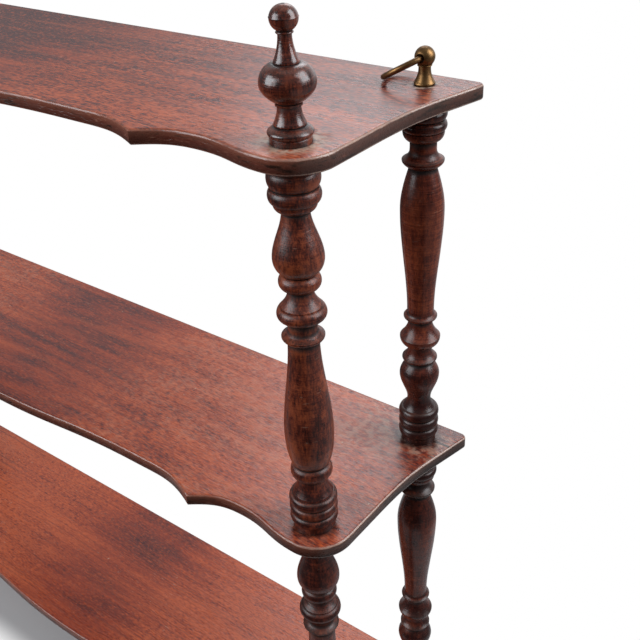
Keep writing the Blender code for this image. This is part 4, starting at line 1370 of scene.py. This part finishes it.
class WALLSHELF_OT_finials(bpy.types.Operator):
    """Turn the two finials"""

    bl_idname = "wall_shelf.finials"
    bl_label = "Finials"

    def execute(self, context):
        column = context.scene.wall_shelf_columns
        material = turned_finish("finial_mahogany", context.scene.wall_shelf_finish)
        turning = finial_turning(context.scene.wall_shelf_finials, column)
        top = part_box("top_shelf")[1].z + SEAT_GAP + turning.depth
        add_pair("finial", turning, top, column, material)
        return {"FINISHED"}


def drop_turning(drop):
    """A ring against the board, a neck and a bulb that runs out in a rounded tip."""
    turning = Turning()
    root = drop.ring_radius - drop.groove
    turning.bead(drop.ring_radius, drop.ring_height, root, root)
    turning.sweep(root, drop.neck_radius, drop.neck_height, opening)
    turning.sweep(drop.neck_radius, drop.bulb_radius, drop.bulb_rise, ogee)
    turning.sweep(drop.bulb_radius, drop.tip_radius, drop.bulb_fall, closing)
    turning.sweep(drop.tip_radius, 0.0, drop.tip_height, closing)
    return turning


class WALLSHELF_OT_drops(bpy.types.Operator):
    """Turn the four drops under the bottom board"""

    bl_idname = "wall_shelf.drops"
    bl_label = "Drops"

    def execute(self, context):
        column = context.scene.wall_shelf_columns
        material = turned_finish("drop_mahogany", context.scene.wall_shelf_finish)
        turning = drop_turning(context.scene.wall_shelf_drops)
        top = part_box("bottom_shelf")[0].z - SEAT_GAP
        for row in ("front", "back"):
            add_pair(f"drop_{row}", turning, top, column, material)
        return {"FINISHED"}


def post_turning(hanger):
    """A ball on a waisted stem with a flared foot, from the top of the ball down."""
    turning = Turning()
    waist = hanger.waist_radius
    rim = hanger.foot_radius
    turning.ball(hanger.ball_radius, hanger.neck_radius)
    turning.bead(hanger.neck_radius + hanger.neck_bead / 3, hanger.neck_bead, waist, waist)
    height = hanger.ball_radius + hanger.ball_height
    stem = height - turning.depth - hanger.flare_height - hanger.foot_height
    turning.cut(waist, stem)
    turning.sweep(waist, rim, hanger.flare_height, flare)
    turning.sweep(rim, rim - hanger.foot_height / 3, hanger.foot_height - SEAT_GAP, closing)
    return turning


def eye_cutter(hanger, centre):
    """A round cutter across the ball, wider at both mouths."""
    turning = Turning()
    eye = hanger.eye_radius
    mouth = math.sqrt(hanger.ball_radius ** 2 - eye ** 2)
    wide = eye + hanger.eye_chamfer * 2
    reach = hanger.ball_radius
    turning.cut(wide)
    turning.cut(eye, reach - mouth + hanger.eye_chamfer)
    turning.cut(eye, 2 * (mouth - hanger.eye_chamfer))
    turning.cut(wide, reach - mouth + hanger.eye_chamfer)
    across = Matrix.Rotation(math.pi / 2, 4, "X") @ Matrix.Translation((0.0, 0.0, reach))
    matrix = Matrix.Translation(centre) @ across
    return turned_object("eye_cutter", turning.closed(), False, matrix, WIRE_SIDES, 0.0, 0.0, None)


class WALLSHELF_OT_hanger_posts(bpy.types.Operator):
    """Make the two brass posts, each with a hole across its ball"""

    bl_idname = "wall_shelf.hanger_posts"
    bl_label = "Hanger posts"

    def execute(self, context):
        hanger = context.scene.wall_shelf_hangers
        sides = context.scene.wall_shelf_columns.sides
        material = brass_finish("aged_brass", context.scene.wall_shelf_finish, POST_TARNISH)
        turning = post_turning(hanger)
        board_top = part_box("top_shelf")[1].z
        for number, side in enumerate(SIDES):
            node = f"hanger_post_{side}"
            place = Vector((*axis_of(node), board_top + hanger.ball_height))
            matrix = Matrix.Translation(place + Vector((0.0, 0.0, hanger.ball_radius)))
            post = turned_object(
                f"brass_post_{side}", turning.closed(), False, matrix, sides, hanger.unevenness,
                number * DENT_STEP, material)
            cutter = eye_cutter(hanger, place)
            boolean = post.modifiers.new("Eye", "BOOLEAN")
            boolean.operation = "DIFFERENCE"
            boolean.object = cutter
            plain_mesh(post)
            bpy.data.objects.remove(cutter)
            settle(post, node, SHELF_BODY)
        return {"FINISHED"}


class WALLSHELF_OT_hanging_rings(bpy.types.Operator):
    """Make the two brass rings that swing in the posts"""

    bl_idname = "wall_shelf.hanging_rings"
    bl_label = "Hanging rings"

    def execute(self, context):
        hanger = context.scene.wall_shelf_hangers
        sides = context.scene.wall_shelf_columns.sides
        wire = hanger.wire_radius
        material = brass_finish("ring_brass", context.scene.wall_shelf_finish, RING_TARNISH)
        for number, (side, body) in enumerate(RING_BODIES.items()):
            node = f"hanging_ring_{side}"
            low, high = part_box(node)
            mean_radius = (high.y - low.y) / 2 - wire
            rise = high.z - low.z - 2 * wire
            tilt = math.asin(rise / math.hypot(high.x - low.x - 2 * wire, rise))
            points = []
            for i in range(WIRE_SIDES):
                turn = -2 * math.pi * i / WIRE_SIDES
                points.append((mean_radius + wire * math.cos(turn), wire * math.sin(turn)))
            matrix = Matrix.Translation((low + high) / 2) @ Matrix.Rotation(-SIDES[side] * tilt, 4, "Y")
            ring = turned_object(
                f"brass_ring_{side}", points, True, matrix, sides, hanger.unevenness, number * DENT_STEP,
                material)
            settle(ring, node, body)
        return {"FINISHED"}


def add_softbox(name, box, colour, power):
    """A rectangle of light aimed at the shelf, which the camera doesn't see."""
    light = bpy.data.lights.new(name, "AREA")
    light.color = colour
    light.shape = "RECTANGLE"
    light.size = box.width
    light.size_y = box.height
    light.energy = power
    lamp = add_to_scene(name, light)
    lamp.location = box.place
    aim = Vector(SOFTBOX_TARGET) - Vector(box.place)
    lamp.rotation_euler = aim.to_track_quat("-Z", "Y").to_euler()
    lamp.visible_camera = False


def studio_world(stage):
    """Bright backdrop behind the shelf, dimmer sides and a dark camera side; the camera sees plain white."""
    world = bpy.data.worlds.new("studio")
    world.use_nodes = True
    kit = NodeKit(world.node_tree)
    seen = kit.ray("Is Camera Ray").most(kit.ray("Is Transmission Ray"))
    heading = kit.add("ShaderNodeTexCoord", output="Generated")
    height = kit.axes(heading)[2]
    back = kit.towards(heading, BACKDROP_HEADING)
    low = (
        stage.front_level + back.rise(-0.70, 0.30) * (stage.side_level - stage.front_level)
        + back.rise(0.72, 1.0) * (stage.back_level - stage.side_level))
    low = low * (0.3 + height.rise(-0.25, 0.05) * 0.7)
    high = stage.high_front_level + back.rise(0.05, 0.50) * (stage.high_back_level - stage.high_front_level)
    high = high * (1.0 - height.rise(0.60, 0.78) * 0.45)
    high = high + height.rise(0.88, 0.98) * (stage.zenith_level - high)
    light = low + height.rise(0.15, 0.60) * (high - low)
    beside = kit.towards(heading, GLOW_HEADING)
    light = light + beside.rise(0.10, 0.22) * height.rise(-0.10, -0.30) * stage.glow_level
    set_shader(
        kit, world.node_tree.nodes["Background"], Color=kit.mix(seen, stage.world_tint, WHITE),
        Strength=light + seen * (1 - light))
    return world


def floor_finish(stage, low, high):
    """Pale floor that keeps the shadow under the shelf and fades to white away from it."""
    material, kit, shader = new_finish("pale_floor")
    set_shader(kit, shader, Base_Color=(*stage.floor_colour, 1.0), Roughness=FLOOR_ROUGHNESS)
    x, y, _ = kit.axes(kit.place())
    beside = (abs(x - (low.x + high.x) / 2) - (high.x - low.x) / 2).most(0.0)
    beyond = (abs(y - (low.y + high.y) / 2) - (high.y - low.y) / 2).most(0.0)
    fade = kit.distance(beside, beyond).rise(0.0, stage.fade_reach) * kit.ray("Is Camera Ray")
    glow = kit.add("ShaderNodeEmission", {}, {"Color": (*WHITE, 1.0), "Strength": 1.0})
    mixed = kit.add("ShaderNodeMixShader", {}, {0: fade, 1: Signal(kit, shader.outputs[0]), 2: glow})
    kit.tree.links.new(mixed.socket, kit.tree.nodes["Material Output"].inputs["Surface"])
    return material


def add_floor(stage):
    """A flat floor at the lowest point of the shelf."""
    low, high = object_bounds()
    side = stage.floor_side
    front = low.y - stage.floor_front
    back = high.y + stage.floor_back
    corners = [(-side, front), (side, front), (side, back), (-side, back)]
    mesh = bpy.data.meshes.new("floor")
    mesh.from_pydata([(x, y, low.z) for x, y in corners], [], [(0, 1, 2, 3)])
    mesh.materials.append(floor_finish(stage, low, high))
    add_to_scene("floor", mesh)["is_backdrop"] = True


def add_camera(stage):
    view = bpy.data.cameras.new("camera")
    view.lens = stage.camera_lens
    view.clip_start = CLIP_START
    camera = add_to_scene("camera", view)
    camera.location = stage.camera_place
    camera.rotation_euler = stage.camera_turn
    bpy.context.scene.camera = camera


class WALLSHELF_OT_stage(bpy.types.Operator):
    """Set up the floor, the light and the camera"""

    bl_idname = "wall_shelf.stage"
    bl_label = "Stage"

    def execute(self, context):
        stage = context.scene.wall_shelf_stage
        context.scene.view_settings.view_transform = "Standard"
        context.scene.world = studio_world(stage)
        add_floor(stage)
        for name, box in SOFTBOXES.items():
            add_softbox(f"{name}_softbox", box, stage.softbox_tint, getattr(stage, f"{name}_power"))
        add_camera(stage)
        return {"FINISHED"}


OPERATORS = (
    WALLSHELF_OT_boards, WALLSHELF_OT_front_columns, WALLSHELF_OT_back_columns, WALLSHELF_OT_finials,
    WALLSHELF_OT_drops, WALLSHELF_OT_hanger_posts, WALLSHELF_OT_hanging_rings, WALLSHELF_OT_stage)
SETTINGS = {
    "wall_shelf_boards": BoardSettings, "wall_shelf_columns": ColumnSettings,
    "wall_shelf_front_columns": FrontColumnSettings, "wall_shelf_back_columns": BackColumnSettings,
    "wall_shelf_finials": FinialSettings, "wall_shelf_drops": DropSettings,
    "wall_shelf_hangers": HangerSettings, "wall_shelf_finish": FinishSettings,
    "wall_shelf_stage": StageSettings}


class WALLSHELF_PT_panel(bpy.types.Panel):
    """Lists the steps that make the shelf"""

    bl_idname = "WALLSHELF_PT_panel"
    bl_label = "Wall Shelf"
    bl_space_type = "VIEW_3D"
    bl_region_type = "UI"
    bl_category = "Wall Shelf"

    def draw(self, context):
        for operator in OPERATORS:
            self.layout.operator(operator.bl_idname)


def register():
    for name, group in SETTINGS.items():
        bpy.utils.register_class(group)
        setattr(bpy.types.Scene, name, bpy.props.PointerProperty(type=group))
    for cls in (*OPERATORS, WALLSHELF_PT_panel):
        bpy.utils.register_class(cls)


def unregister():
    for cls in (WALLSHELF_PT_panel, *reversed(OPERATORS)):
        bpy.utils.unregister_class(cls)
    for name, group in SETTINGS.items():
        delattr(bpy.types.Scene, name)
        bpy.utils.unregister_class(group)


def main():
    register()
    bpy.ops.wall_shelf.boards()
    bpy.ops.wall_shelf.front_columns()
    bpy.ops.wall_shelf.back_columns()
    bpy.ops.wall_shelf.finials()
    bpy.ops.wall_shelf.drops()
    bpy.ops.wall_shelf.hanger_posts()
    bpy.ops.wall_shelf.hanging_rings()
    bpy.ops.wall_shelf.stage()


if __name__ == "__main__":
    main()
